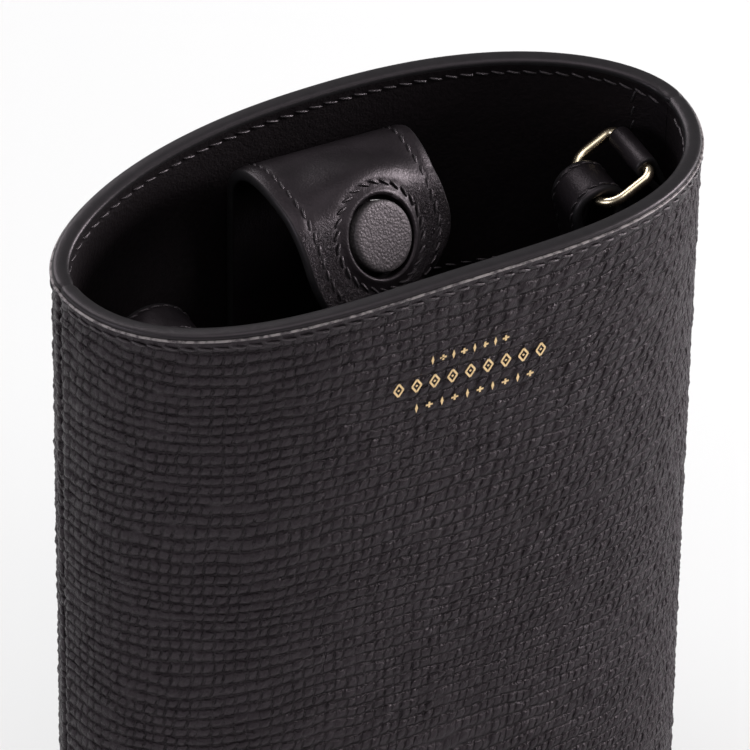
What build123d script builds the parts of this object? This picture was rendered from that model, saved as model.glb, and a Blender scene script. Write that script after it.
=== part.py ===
from build123d import *
from math import acos, atan2, cos, degrees, exp, pi, radians, sin, sqrt, tan
import os

# Upright soft leather case, open at the top, with a magnetic closing tab and a carry strap on two D-rings.
# Millimetres. +Z is up, the mouth's long axis runs along X, the front panel faces -Y,
# and the origin is the centre of the footprint, on the surface that the case stands on.

FRONT, BACK = -1, 1
RIGHT, LEFT = 1, -1

# body
MOUTH_CORNER = 186.0        # height of the rim at the two side seams
MOUTH_RISE = 4.5            # how much higher the rim is at the middle of each panel
SEAM_HALF = 65.2            # half the length between the side seams
FRONT_FOOT, FRONT_FLARE, FRONT_BOW = 28.0, 7.6, 1.6
BACK_FOOT, BACK_FLARE, BACK_BOW = 25.2, 2.2, 2.0
FOOT_TUCK, FOOT_ROUND = 3.8, 4.0
FRONT_FULLNESS, BACK_FULLNESS = 3.1, 2.4
OUTLINE_POINTS = 15
SECTION_HEIGHTS = (2.0, 4.0, 7.0, 12.0, 25.0, 50.0, 80.0, 110.0, 140.0, 155.0, 168.0, 180.0)

# wall layers, as insets from the outside
OUTER_LEATHER = 1.4
STIFFENER_IN, STIFFENER_OUT = 1.45, 2.35
LINING_IN, LINING_OUT = 2.4, 3.2
FACING_OUT = 3.5
RIM_BEAD = 1.2
RIM_GAP = 0.05
RIM_LOFT_START = 168.0
CUT_MARGIN = 6.0
CUT_REACH = 60.0            # half the width of the cutters that trim a layer along the rim line
FACING_BOTTOM = 140.0
STIFFENER_START = 0.16      # turn from the seam at which the stiffener starts, in radians
TAPE_STOP = 0.12

# base
FOOT_LIFT = 0.8             # the side panels end this far above the surface
BASE_LEATHER, BASE_BOARD, BASE_LINING = 1.6, 1.2, 0.8
LAYER_GAP = 0.05
BOARD_INSET = STIFFENER_OUT + 0.15
LINING_START = BASE_LEATHER + BASE_BOARD + BASE_LINING + 3 * LAYER_GAP
STIFFENER_DROP = 2.0
BASE_CLEARANCE = 0.1        # between the base leather and the side panels

# closing tab: profile in the YZ plane, measured along its outer face
TAB_HALF = 17.3
TAB_LAYER = 1.25
TAB_STITCH_Z = 144.5
TAB_BACK_Y = 21.6
TAB_RISE_TOP = 178.6
TAB_CREST_R, TAB_BROW_R, TAB_CURL_R = 8.5, 12.0, 9.0
TAB_BROW_ANGLE = 142.0
TAB_FLAT = 14.0
TAB_CURL = 62.0
TAB_HINGE_ANGLE = 67.0
HINGE_GAP = 0.15
TAB_OUTLINE_REACH = 60.0

# magnets
MAGNET_R, MAGNET_T = 5.6, 1.9
CAP_R, CAP_TOP, CAP_SKIN, CAP_CROWN_R = 6.6, 1.4, 0.6, 0.5
TAB_WINDOW_R = 7.6
FRONT_MAGNET_R, FRONT_MAGNET_T, FRONT_MAGNET_Z = 6.0, 0.8, 160.0
FRONT_POCKET_R, FRONT_POCKET_DEPTH = 6.6, 3.0
FRONT_MAGNET_SINK = 0.05
MAGNET_CHAMFER, FRONT_MAGNET_CHAMFER = 0.15, 0.1
CAP_LIFT, MAGNET_LIFT = 0.04, 0.03         # so that the cap, the magnet and the leather under them stay apart

# D-rings and chapes
WIRE_R = 1.0
RING_REACH, RING_HALF = 11.0, 7.7
RING_HEEL_R, RING_BOW_R = 1.8, 4.5
PIN_CLEARANCE = 0.06
CHAPE_LEATHER = 1.4
CHAPE_HALF = 5.7
CHAPE_WALL_X = 58.4
CHAPE_TAIL_T, CHAPE_TAIL_BEND = 2.0, 3.0
CHAPE_TAIL_FOOT, CHAPE_TAIL_NECK = 20.0, 6.5    # below the middle of the roll
ROLL_X = {RIGHT: 54.6, LEFT: -56.0}
ROLL_Z = {RIGHT: 175.7, LEFT: 167.5}
RING_DROP = {RIGHT: 28.8, LEFT: 15.0}      # angle of the ring below the level, in degrees

# strap
STRAP_HALF, STRAP_T = 5.0, 2.0
LOOP_X = {RIGHT: 45.4, LEFT: -44.7}
LOOP_Z = {RIGHT: 167.9, LEFT: 162.8}
LOOP_R = {RIGHT: 5.7, LEFT: 8.5}
LOOP_NECK = {RIGHT: 17.0, LEFT: 10.5}      # from the loop's centre down to where its two legs meet
STRAP_DOUBLED = 14.0
STRAP_GAP = 0.1
LOOP_SLIT = 0.05            # half the gap between the two legs of a strap end, where they meet
BEND_SHARE = 0.45           # share of a run that the arc at its end may take
STRAP_ROUTE = [(45.6, 105), (48.2, 72), (47, 40), (36, 14.5), (14, 5.4),
               (-13, 5.2), (-35, 14), (-46.5, 39), (-48.5, 71), (-45.5, 104)]

NAMES = {FRONT: "front", BACK: "back"}
SIDES = {RIGHT: "right", LEFT: "left"}
MOUTH_TOP = MOUTH_CORNER + MOUTH_RISE
ABOVE = MOUTH_TOP + 2.0

os.makedirs("parts", exist_ok=True)


def finish_part(part, label):
    """Labels a finished piece and writes it under its own name."""
    part.label = label
    export_step(part, f"parts/{label}.step")


def polar(centre, radius, angle):
    """Point at an angle, in degrees, on a circle."""
    return (centre[0] + radius * cos(radians(angle)), centre[1] + radius * sin(radians(angle)))


def half_length(z):
    """Distance from the middle to a side seam at height z."""
    return SEAM_HALF - FOOT_TUCK * exp(-z / FOOT_ROUND)


def half_depth(side, z):
    """How far the front or back panel bows out at height z."""
    tuck = FOOT_TUCK * exp(-z / FOOT_ROUND)
    if side == FRONT:
        return FRONT_FOOT + FRONT_FLARE * (z / MOUTH_TOP) ** FRONT_BOW - tuck
    return BACK_FOOT + BACK_FLARE * (z / MOUTH_TOP) ** BACK_BOW - tuck


def wall_point(side, z, turn, inset):
    """Point of a panel's outline, turn = 0 at the left seam and pi at the right, moved in by inset."""
    a, b = half_length(z), half_depth(side, z)
    full = FRONT_FULLNESS if side == FRONT else BACK_FULLNESS
    c, s = cos(turn), sin(turn)
    depth = sqrt(max(1.0 - abs(c) ** full, 0.0))
    if s < 1e-6:
        return (-c * (a - inset), 0.0)
    dx = a * s
    dy = b * full * abs(c) ** (full - 1.0) * (1 if c > 0 else -1) * s / (2.0 * depth)
    size = sqrt(dx * dx + dy * dy)
    return (-a * c + inset * dy / size, side * (b * depth - inset * dx / size))


def outline(side, z, inset, start=0.0, stop=pi):
    """Points of a panel's outline from one turn to another."""
    step = (stop - start) / (OUTLINE_POINTS - 1)
    return [wall_point(side, z, start + i * step, inset) for i in range(OUTLINE_POINTS)]


def levels(bottom, top):
    """Heights of the loft's sections, closer together where the foot is rounded."""
    return [bottom] + [z for z in SECTION_HEIGHTS if bottom + 0.4 < z < top - 0.4] + [top]


def wall_section(side, z, outer, inner, start=0.0, stop=pi):
    """The thin strip that one wall layer fills at height z."""
    with BuildSketch(Plane.XY.offset(z)) as section:
        with BuildLine():
            out_points = outline(side, z, outer, start, stop)
            in_points = outline(side, z, inner, start, stop)
            Spline(*out_points)
            Line(out_points[-1], in_points[-1])
            Spline(*reversed(in_points))
            Line(in_points[0], out_points[0])
        make_face()
    return section.sketch


def wall_sections(side, outer, inner, bottom, top, start=0.0, stop=pi):
    """The strips from bottom to top that a wall layer is lofted through."""
    return [wall_section(side, z, outer, inner, start, stop) for z in levels(bottom, top)]


def tape_section(z, first, last):
    """The strip that a seam tape fills at height z, across one side seam."""
    with BuildSketch(Plane.XY.offset(z)) as section:
        with BuildLine():
            Spline(*outline(FRONT, z, STIFFENER_IN, last, first))
            Spline(*outline(BACK, z, STIFFENER_IN, first, last))
            Line(wall_point(BACK, z, last, STIFFENER_IN), wall_point(BACK, z, last, STIFFENER_OUT))
            Spline(*outline(BACK, z, STIFFENER_OUT, last, first))
            Spline(*outline(FRONT, z, STIFFENER_OUT, first, last))
            Line(wall_point(FRONT, z, last, STIFFENER_OUT), wall_point(FRONT, z, last, STIFFENER_IN))
        make_face()
    return section.sketch


def mouth_height(x, drop):
    """Height of the curved rim line at x, lowered by drop."""
    return MOUTH_TOP - drop - MOUTH_RISE * (x / SEAM_HALF) ** 2


def mouth_region(drop, above=True):
    """Everything above (or below) the curved rim line, as a sketch in the XZ plane."""
    reach = SEAM_HALF + CUT_MARGIN
    far = ABOVE + CUT_MARGIN if above else RIM_LOFT_START - CUT_MARGIN
    with BuildSketch(Plane.XZ) as region:
        with BuildLine():
            ThreePointArc((-reach, mouth_height(reach, drop)), (0, mouth_height(0, drop)),
                          (reach, mouth_height(reach, drop)))
            Polyline((reach, mouth_height(reach, drop)), (reach, far), (-reach, far),
                     (-reach, mouth_height(reach, drop)))
        make_face()
    return region.sketch


def lens_outline(bottom, inset):
    """The oval that a sheet of the base is cut to, at height bottom."""
    with BuildSketch(Plane.XY.offset(bottom)) as oval:
        with BuildLine():
            Spline(*outline(FRONT, FOOT_LIFT, inset))
            Spline(*outline(BACK, FOOT_LIFT, inset))
        make_face()
    return oval.sketch


def front_wall_plane(z, inset):
    """Plane on the middle of the front wall, its normal pointing out of the case."""
    slope = (half_depth(FRONT, z + 1.0) - half_depth(FRONT, z - 1.0)) / 2.0
    out = Vector(0, -1, -slope).normalized()
    foot = Vector(0, -half_depth(FRONT, z), z) - out * inset
    return Plane(origin=foot, x_dir=(1, 0, 0), z_dir=out)


def teardrop(centre, radius, neck, half_width):
    """A loop seen from the side: round above, its two legs meeting at height neck."""
    drop = centre[1] - neck
    lean = atan2(-drop, half_width) + acos(radius / sqrt(drop ** 2 + half_width ** 2))
    right = (centre[0] + radius * cos(lean), centre[1] + radius * sin(lean))
    left = (2 * centre[0] - right[0], right[1])
    with BuildSketch(Plane.XZ) as loop:
        with BuildLine():
            ThreePointArc(right, (centre[0], centre[1] + radius), left)
            Polyline(left, (centre[0] - half_width, neck), (centre[0] + half_width, neck), right)
        make_face()
    return loop.sketch


def bend_radii(points):
    """The largest arc that each corner's two runs allow."""
    radii = []
    for before, corner, after in zip(points, points[1:], points[2:]):
        one = Vector(*corner) - Vector(*before)
        two = Vector(*after) - Vector(*corner)
        turn = radians(one.get_angle(two))
        radii.append(BEND_SHARE * min(one.length, two.length) / tan(turn / 2))
    return radii


# ---------------------------------------------------------------- walls
for side in (FRONT, BACK):
    with BuildPart() as outer_panel:
        loft(wall_sections(side, 0.0, OUTER_LEATHER, FOOT_LIFT, ABOVE), ruled=True)
        extrude(mouth_region(RIM_BEAD + RIM_GAP), amount=CUT_REACH, both=True, mode=Mode.SUBTRACT)
    finish_part(outer_panel.part, f"{NAMES[side]}_outer_panel")

    with BuildPart() as stiffener:
        loft(wall_sections(side, STIFFENER_IN, STIFFENER_OUT, LINING_START, ABOVE,
                           STIFFENER_START, pi - STIFFENER_START), ruled=True)
        extrude(mouth_region(RIM_BEAD + STIFFENER_DROP), amount=CUT_REACH, both=True, mode=Mode.SUBTRACT)
        if side == FRONT:
            with BuildSketch(front_wall_plane(FRONT_MAGNET_Z, STIFFENER_OUT + FRONT_POCKET_DEPTH / 2)):
                Circle(FRONT_POCKET_R)
            extrude(amount=FRONT_POCKET_DEPTH, mode=Mode.SUBTRACT)
    finish_part(stiffener.part, f"{NAMES[side]}_stiffener")

    with BuildPart() as facing:
        loft(wall_sections(side, LINING_IN, FACING_OUT, FACING_BOTTOM, ABOVE), ruled=True)
        extrude(mouth_region(RIM_BEAD + RIM_GAP), amount=CUT_REACH, both=True, mode=Mode.SUBTRACT)
    finish_part(facing.part, f"{NAMES[side]}_facing")

    with BuildPart() as lining:
        loft(wall_sections(side, LINING_IN, LINING_OUT, LINING_START, FACING_BOTTOM - LAYER_GAP), ruled=True)
    finish_part(lining.part, f"{NAMES[side]}_lining")

    with BuildPart() as rim:
        loft(wall_sections(side, 0.0, FACING_OUT, RIM_LOFT_START, ABOVE), ruled=True)
        extrude(mouth_region(0.0), amount=CUT_REACH, both=True, mode=Mode.SUBTRACT)
        extrude(mouth_region(RIM_BEAD, above=False), amount=CUT_REACH, both=True, mode=Mode.SUBTRACT)
    finish_part(rim.part, f"{NAMES[side]}_rim_edge")

# ---------------------------------------------------------------- seam tapes, behind the two side seams
for end in (RIGHT, LEFT):
    first = 0.0 if end == LEFT else pi
    last = TAPE_STOP if end == LEFT else pi - TAPE_STOP
    with BuildPart() as tape:
        loft([tape_section(z, first, last) for z in levels(LINING_START, ABOVE)], ruled=True)
        extrude(mouth_region(RIM_BEAD + STIFFENER_DROP), amount=CUT_REACH, both=True, mode=Mode.SUBTRACT)
    finish_part(tape.part, f"{SIDES[end]}_seam_tape")

# ---------------------------------------------------------------- base
with BuildPart() as base_leather:
    extrude(lens_outline(0.0, OUTER_LEATHER + BASE_CLEARANCE), amount=BASE_LEATHER)
finish_part(base_leather.part, "base_leather")

with BuildPart() as base_board:
    extrude(lens_outline(BASE_LEATHER + LAYER_GAP, BOARD_INSET), amount=BASE_BOARD)
finish_part(base_board.part, "base_board")

with BuildPart() as base_lining:
    extrude(lens_outline(BASE_LEATHER + BASE_BOARD + 2 * LAYER_GAP, BOARD_INSET), amount=BASE_LINING)
finish_part(base_lining.part, "base_lining")

# ---------------------------------------------------------------- magnet in the front wall
with BuildPart() as front_magnet:
    with BuildSketch(front_wall_plane(FRONT_MAGNET_Z, STIFFENER_OUT - FRONT_MAGNET_SINK)):
        Circle(FRONT_MAGNET_R)
    extrude(amount=FRONT_MAGNET_T)
    chamfer(front_magnet.edges().filter_by(GeomType.CIRCLE), FRONT_MAGNET_CHAMFER)
finish_part(front_magnet.part, "front_magnet")


# ---------------------------------------------------------------- closing tab
CREST = (TAB_BACK_Y - TAB_CREST_R, TAB_RISE_TOP)
BROW = (CREST[0], TAB_RISE_TOP + TAB_CREST_R - TAB_BROW_R)
FLAT_START = polar(BROW, TAB_BROW_R, TAB_BROW_ANGLE)
FLAT_RUN = (-sin(radians(TAB_BROW_ANGLE)), cos(radians(TAB_BROW_ANGLE)))
DISC = (FLAT_START[0] + FLAT_RUN[0] * TAB_FLAT / 2, FLAT_START[1] + FLAT_RUN[1] * TAB_FLAT / 2)
FLAT_END = (FLAT_START[0] + FLAT_RUN[0] * TAB_FLAT, FLAT_START[1] + FLAT_RUN[1] * TAB_FLAT)
CURL_CENTRE = polar(FLAT_END, -TAB_CURL_R, TAB_BROW_ANGLE)
HINGE = polar(CREST, TAB_CREST_R, TAB_HINGE_ANGLE)
DISC_OUT = Vector(0, cos(radians(TAB_BROW_ANGLE)), sin(radians(TAB_BROW_ANGLE)))
DISC_PLANE = Plane(origin=(0, DISC[0], DISC[1]), x_dir=(1, 0, 0), z_dir=DISC_OUT)
HINGE_TRIM = degrees(HINGE_GAP / TAB_CREST_R)


def riser_profile(near, far):
    """Lower part of the tab: straight up the back wall and over to the hinge, between two depths."""
    last = TAB_HINGE_ANGLE - HINGE_TRIM
    with BuildSketch(Plane.YZ) as profile:
        with BuildLine():
            Line((TAB_BACK_Y - near, TAB_STITCH_Z), (TAB_BACK_Y - near, TAB_RISE_TOP))
            CenterArc(CREST, TAB_CREST_R - near, 0, last)
            Line(polar(CREST, TAB_CREST_R - near, last), polar(CREST, TAB_CREST_R - far, last))
            CenterArc(CREST, TAB_CREST_R - far, last, -last)
            Line((TAB_BACK_Y - far, TAB_RISE_TOP), (TAB_BACK_Y - far, TAB_STITCH_Z))
            Line((TAB_BACK_Y - far, TAB_STITCH_Z), (TAB_BACK_Y - near, TAB_STITCH_Z))
        make_face()
    return profile.sketch


def flap_profile(near, far):
    """Free part of the tab: over the crest, down to the flat stretch and the curled end."""
    first = TAB_HINGE_ANGLE + HINGE_TRIM
    last = TAB_BROW_ANGLE + TAB_CURL
    with BuildSketch(Plane.YZ) as profile:
        with BuildLine():
            for depth in (near, far):
                CenterArc(CREST, TAB_CREST_R - depth, first, 90 - first)
                CenterArc(BROW, TAB_BROW_R - depth, 90, TAB_BROW_ANGLE - 90)
                Line(polar(BROW, TAB_BROW_R - depth, TAB_BROW_ANGLE),
                     polar(CURL_CENTRE, TAB_CURL_R - depth, TAB_BROW_ANGLE))
                CenterArc(CURL_CENTRE, TAB_CURL_R - depth, TAB_BROW_ANGLE, TAB_CURL)
            Line(polar(CREST, TAB_CREST_R - near, first), polar(CREST, TAB_CREST_R - far, first))
            Line(polar(CURL_CENTRE, TAB_CURL_R - near, last), polar(CURL_CENTRE, TAB_CURL_R - far, last))
        make_face()
    return profile.sketch


def tab_end_outline():
    """Outline of the flap seen square to its flat stretch: a half-round end centred on the magnet."""
    with BuildSketch(DISC_PLANE.offset(-TAB_OUTLINE_REACH)) as end_outline:
        with BuildLine():
            CenterArc((0, 0), TAB_HALF, 180, 180)
            Polyline((TAB_HALF, 0), (TAB_HALF, TAB_OUTLINE_REACH), (-TAB_HALF, TAB_OUTLINE_REACH),
                     (-TAB_HALF, 0))
        make_face()
    return end_outline.sketch


with BuildPart() as tab_riser_face:
    extrude(riser_profile(0.0, TAB_LAYER), amount=TAB_HALF, both=True)
finish_part(tab_riser_face.part, "tab_riser_face")

with BuildPart() as tab_riser_back:
    extrude(riser_profile(TAB_LAYER, 2 * TAB_LAYER), amount=TAB_HALF, both=True)
finish_part(tab_riser_back.part, "tab_riser_back")

with BuildPart() as tab_flap_face:
    extrude(flap_profile(0.0, TAB_LAYER), amount=TAB_HALF, both=True)
    extrude(tab_end_outline(), amount=2 * TAB_OUTLINE_REACH, mode=Mode.INTERSECT)
    with BuildSketch(DISC_PLANE.offset(-2 * TAB_LAYER)):
        Circle(TAB_WINDOW_R)
    extrude(amount=4 * TAB_LAYER, mode=Mode.SUBTRACT)
finish_part(tab_flap_face.part, "tab_flap_face")

with BuildPart() as tab_flap_back:
    extrude(flap_profile(TAB_LAYER, 2 * TAB_LAYER), amount=TAB_HALF, both=True)
    extrude(tab_end_outline(), amount=2 * TAB_OUTLINE_REACH, mode=Mode.INTERSECT)
finish_part(tab_flap_back.part, "tab_flap_back")

CAP_FOOT = CAP_LIFT - TAB_LAYER
with BuildPart() as tab_magnet_cap:
    with BuildSketch(DISC_PLANE.offset(CAP_FOOT)):
        Circle(CAP_R)
    extrude(amount=CAP_TOP - CAP_FOOT)
    crown = tab_magnet_cap.edges().filter_by(GeomType.CIRCLE).sort_by(lambda e: e.center().dot(DISC_OUT))[-1]
    fillet(crown, CAP_CROWN_R)
    with BuildSketch(DISC_PLANE.offset(CAP_FOOT)):
        Circle(CAP_R - CAP_SKIN)
    extrude(amount=CAP_TOP - CAP_FOOT - CAP_SKIN, mode=Mode.SUBTRACT)
finish_part(tab_magnet_cap.part, "tab_magnet_cap")

with BuildPart() as tab_magnet:
    with BuildSketch(DISC_PLANE.offset(CAP_FOOT + MAGNET_LIFT)):
        Circle(MAGNET_R)
    extrude(amount=MAGNET_T)
    chamfer(tab_magnet.edges().filter_by(GeomType.CIRCLE), MAGNET_CHAMFER)
finish_part(tab_magnet.part, "tab_magnet")

# ---------------------------------------------------------------- chapes, D-rings and strap ends
for end in (RIGHT, LEFT):
    roll = (ROLL_X[end], ROLL_Z[end])
    wall_x = end * CHAPE_WALL_X
    with BuildPart() as chape:
        with BuildSketch(Plane.XZ):
            with BuildLine():
                FilletPolyline((wall_x, roll[1] - CHAPE_TAIL_FOOT), (wall_x, roll[1] - CHAPE_TAIL_NECK), roll,
                               radius=CHAPE_TAIL_BEND)
            trace(line_width=CHAPE_TAIL_T)
            with Locations(roll):
                Circle(WIRE_R + PIN_CLEARANCE + CHAPE_LEATHER)
                Circle(WIRE_R + PIN_CLEARANCE, mode=Mode.SUBTRACT)
        extrude(amount=CHAPE_HALF, both=True)
    finish_part(chape.part, f"{SIDES[end]}_ring_chape")

    drop = radians(RING_DROP[end])
    reach_dir = Vector(-end * cos(drop), 0, -sin(drop))
    ring_plane = Plane(origin=(roll[0], 0, roll[1]), x_dir=reach_dir, z_dir=reach_dir.cross(Vector(0, 1, 0)))
    with BuildPart() as d_ring:
        with BuildLine(ring_plane) as ring_path:
            FilletPolyline((0, -RING_HALF), (RING_REACH, -RING_HALF), (RING_REACH, RING_HALF), (0, RING_HALF),
                           radius=[RING_HEEL_R, RING_BOW_R, RING_BOW_R, RING_HEEL_R], close=True)
        with BuildSketch(Plane(origin=(roll[0], 0, roll[1]), x_dir=reach_dir, z_dir=(0, 1, 0))):
            Circle(WIRE_R)
        sweep(path=ring_path.wires()[0])
    finish_part(d_ring.part, f"{SIDES[end]}_d_ring")

    centre = (LOOP_X[end], LOOP_Z[end])
    neck = LOOP_Z[end] - LOOP_NECK[end]
    with BuildPart() as strap_end:
        extrude(teardrop(centre, LOOP_R[end], neck, STRAP_T), amount=STRAP_HALF, both=True)
        with BuildSketch(Plane.XZ):
            with Locations((centre[0], neck - STRAP_DOUBLED / 2)):
                Rectangle(2 * STRAP_T, STRAP_DOUBLED)
        extrude(amount=STRAP_HALF, both=True)
        extrude(teardrop(centre, LOOP_R[end] - STRAP_T, neck, LOOP_SLIT), amount=STRAP_HALF, both=True,
                mode=Mode.SUBTRACT)
    finish_part(strap_end.part, f"{SIDES[end]}_strap_end")

# ---------------------------------------------------------------- strap, from loop to loop over the base
route = [(LOOP_X[RIGHT], LOOP_Z[RIGHT] - LOOP_NECK[RIGHT] - STRAP_DOUBLED - STRAP_GAP)] + STRAP_ROUTE
route = route + [(LOOP_X[LEFT], LOOP_Z[LEFT] - LOOP_NECK[LEFT] - STRAP_DOUBLED - STRAP_GAP)]
print("strap bend radii", [round(r) for r in bend_radii(route)])
with BuildPart() as carry_strap:
    with BuildLine(Plane.XZ) as strap_line:
        FilletPolyline(*route, radius=bend_radii(route))
    with BuildSketch(Plane(origin=(route[0][0], 0, route[0][1]), x_dir=(0, 1, 0),
                           z_dir=strap_line.wires()[0] % 0)):
        Rectangle(2 * STRAP_HALF, STRAP_T)
    sweep(path=strap_line.wires()[0])
finish_part(carry_strap.part, "carry_strap")
print("strap free run", round(strap_line.wires()[0].length, 1),
      "section check", round(carry_strap.part.volume / (2 * STRAP_HALF * STRAP_T), 1))
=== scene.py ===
from math import acos, atan2, cos, pi, radians, sin, sqrt

import bmesh
import bpy
import numpy as np
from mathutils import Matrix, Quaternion, Vector


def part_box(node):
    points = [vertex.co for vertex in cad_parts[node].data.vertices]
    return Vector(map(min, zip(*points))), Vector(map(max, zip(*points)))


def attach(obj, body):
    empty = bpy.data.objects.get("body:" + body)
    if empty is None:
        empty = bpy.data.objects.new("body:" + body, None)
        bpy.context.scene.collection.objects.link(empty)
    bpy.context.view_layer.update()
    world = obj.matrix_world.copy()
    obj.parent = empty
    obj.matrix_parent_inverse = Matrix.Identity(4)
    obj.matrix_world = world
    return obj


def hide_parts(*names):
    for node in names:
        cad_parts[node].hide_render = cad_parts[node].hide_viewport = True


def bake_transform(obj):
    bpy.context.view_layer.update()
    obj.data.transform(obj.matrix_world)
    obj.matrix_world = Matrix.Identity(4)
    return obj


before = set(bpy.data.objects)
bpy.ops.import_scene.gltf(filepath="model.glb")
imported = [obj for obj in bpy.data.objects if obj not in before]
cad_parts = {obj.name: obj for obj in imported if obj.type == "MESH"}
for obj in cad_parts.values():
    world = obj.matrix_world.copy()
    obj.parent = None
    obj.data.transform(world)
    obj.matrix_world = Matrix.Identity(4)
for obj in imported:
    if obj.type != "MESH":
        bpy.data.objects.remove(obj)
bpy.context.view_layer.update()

# Looks of the upright soft leather case. Lengths are in millimetres up to the point where a mesh is made,
# which is where they become metres. The shape functions of the walls are those of the CAD model.

MM = 0.001
FRONT, BACK = -1, 1
RIGHT, LEFT = 1, -1
NAMES = {FRONT: "front", BACK: "back"}
SIDES = {RIGHT: "right", LEFT: "left"}

# ---- driving dimensions
MOUTH_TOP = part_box("front_rim_edge")[1].z / MM
MOUTH_CORNER = 186.0
MOUTH_RISE = {FRONT: 4.5, BACK: 5.6}       # the soft back wall stands a little higher than the plain CAD one
SEAM_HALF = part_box("front_outer_panel")[1].x / MM
FRONT_FOOT, FRONT_FLARE, FRONT_BOW = 28.0, 7.6, 1.6
BACK_FOOT, BACK_FLARE, BACK_BOW = 25.2, 2.2, 2.0
FOOT_TUCK, FOOT_ROUND = 3.8, 4.0
FRONT_FULLNESS, BACK_FULLNESS = 3.1, 2.4

OUTER_LEATHER = 1.4
LINING_IN, LINING_OUT = 2.4, 3.2
FACING_OUT = 3.5
RIM_BEAD = 1.2
RIM_GAP = 0.05
FOOT_LIFT = 0.8
FACING_BOTTOM = 140.0
LINING_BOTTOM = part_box("front_lining")[0].z / MM
LINING_TOP = FACING_BOTTOM - 0.05
BASE_LEATHER_Z = (0.0, 1.6)
BASE_SUEDE_Z = (2.9, 3.65)
BASE_CLEARANCE, SUEDE_CLEARANCE = 0.15, 0.1

# sections of the rim as (inset, height over the rim line), each a closed outline
RIM_PROFILE = [(0.34, -1.32), (0.30, -0.95), (0.31, -0.62), (0.42, -0.34), (0.70, -0.12), (1.15, -0.02),
               (1.75, 0.0), (2.40, -0.03), (2.90, -0.13), (3.28, -0.34), (3.48, -0.66), (3.50, -1.00),
               (3.46, -1.32), (1.90, -1.24)]
LIP_PROFILE = [(0.46, -1.42), (0.44, -1.06), (0.20, -1.02), (0.0, -1.03), (-0.13, -1.11), (-0.16, -1.24),
               (-0.08, -1.38), (0.20, -1.44)]
RIM_NOTCH, LIP_NOTCH = 0.22, 0.20       # share by which a section shrinks at a side seam

# meshes
OUTER_CELL, FACING_CELL, SUEDE_CELL = 0.59, 0.7, 1.6
HIDDEN_ROWS = 12            # rows of the plain face that a wall layer turns to its neighbour
PANEL_SPAN = 2.65           # length of a panel's outline at the mouth, in half lengths
NOISE_CELLS, GRAIN_CELLS = 128, 512     # size of the tables of random numbers

# stitches
STITCH_PITCH = 3.1
THREAD_R = 0.30
THREAD_SINK, OUTER_THREAD_SINK = 0.12, 0.24
EDGE_STITCH = 3.0           # from the rim, or from the facing's lower edge, to the row of stitches
MOUTH_ROW_STOP, LOWER_ROW_STOP = 3.2, 6.0       # where the rows stop before a side seam
TIE_TURN, TIE_Z = 2.80, (170.5, 183.5)          # the short upright row beside the right seam

# embossing of the outer leather: u runs along a panel from the left seam, v is the height
ROW_PITCH, COL_PITCH = 2.60, 2.15
EMBOSS = 0.66
LEAN_MOST, LEAN_START, LEAN_RUN, LEAN_LEVEL = 0.40, 60.0, 100.0, 130.0      # columns lean over to the right
SEAM_TURN, SEAM_WIDTH = 1.15, 1.5       # how deep and how wide the panel turns in at a side seam
LEATHER_TINT = (1.0, 0.83, 0.93)        # the dye warms the sheen a little

# closing tab, along its outer face from the stitched foot
TAB_HALF = 17.3
TAB_THICK = 2.5
TAB_FOOT_Z = 144.5
TAB_START = (-2.3, 22.06, 176.5)
TAB_CREST_R, TAB_CREST_TURN = 9.54, radians(93.0)
TAB_BROW_R = 18.86
TAB_YAW, TAB_ROLL, TAB_TWIST_RUN = 0.13, 0.17, 25.0
TAB_RISE = TAB_START[2] - TAB_FOOT_Z
TAB_DISC_S = TAB_RISE + 34.0            # place of the magnet's middle
TAB_SINK = 0.5              # how far the flat place round the magnet lies under the curved face
FLAT_R, FLAT_FADE = 9.0, 11.0           # radius of the flat place, and how far it takes to follow the curve
TAB_EDGE_STITCH, TAB_STITCH_START = 2.9, 4.0
TAB_EDGE_PITCH, TAB_RING_PITCH = 2.5, 2.45
WINDOW_R, WINDOW_LIP_R, WINDOW_STITCH_R = 7.8, 8.35, 10.2
WINDOW_DEPTH = 1.25
CAP_R, CAP_TOP = 6.8, 1.4
CAP_CROWN = 0.10

# rings, chapes and strap
WIRE_R = 1.0
RING_REACH, RING_HALF = 11.0, 7.7
RING_HEEL_R, RING_BOW_R = 1.8, 4.5
CHAPE_HALF, CHAPE_LEATHER = 5.7, 1.25
CHAPE_WALL_X = 58.4
CHAPE_NECK, CHAPE_TAIL = 6.5, 13.5      # from the roll down to where its legs meet, and on from there
ROLL_GAP = 0.12             # between the ring's bar and the leather round it
LEG_GAP = 0.02              # half the gap between two legs of a strip
ROLL_X = {RIGHT: 54.6, LEFT: -56.0}
ROLL_Z = {RIGHT: 175.7, LEFT: 167.5}
RING_DROP = {RIGHT: 28.8, LEFT: 15.0}
STRAP_HALF, STRAP_T = 5.0, 2.0
LOOP_X = {RIGHT: 45.4, LEFT: -44.7}
LOOP_Z = {RIGHT: 167.9, LEFT: 162.8}
LOOP_R = {RIGHT: 5.7, LEFT: 8.5}
LOOP_NECK = {RIGHT: 17.0, LEFT: 10.5}
STRAP_DOUBLED = 14.0
STRAP_GAP = 0.1
STRAP_EDGE_STITCH, STRAP_PITCH, STRAP_THREAD_R = 1.5, 2.6, 0.24
STRAP_ROUTE = [(45.6, 105), (48.2, 72), (47, 40), (36, 14.5), (14, 5.4),
               (-13, 5.2), (-35, 14), (-46.5, 39), (-48.5, 71), (-45.5, 104)]

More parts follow.
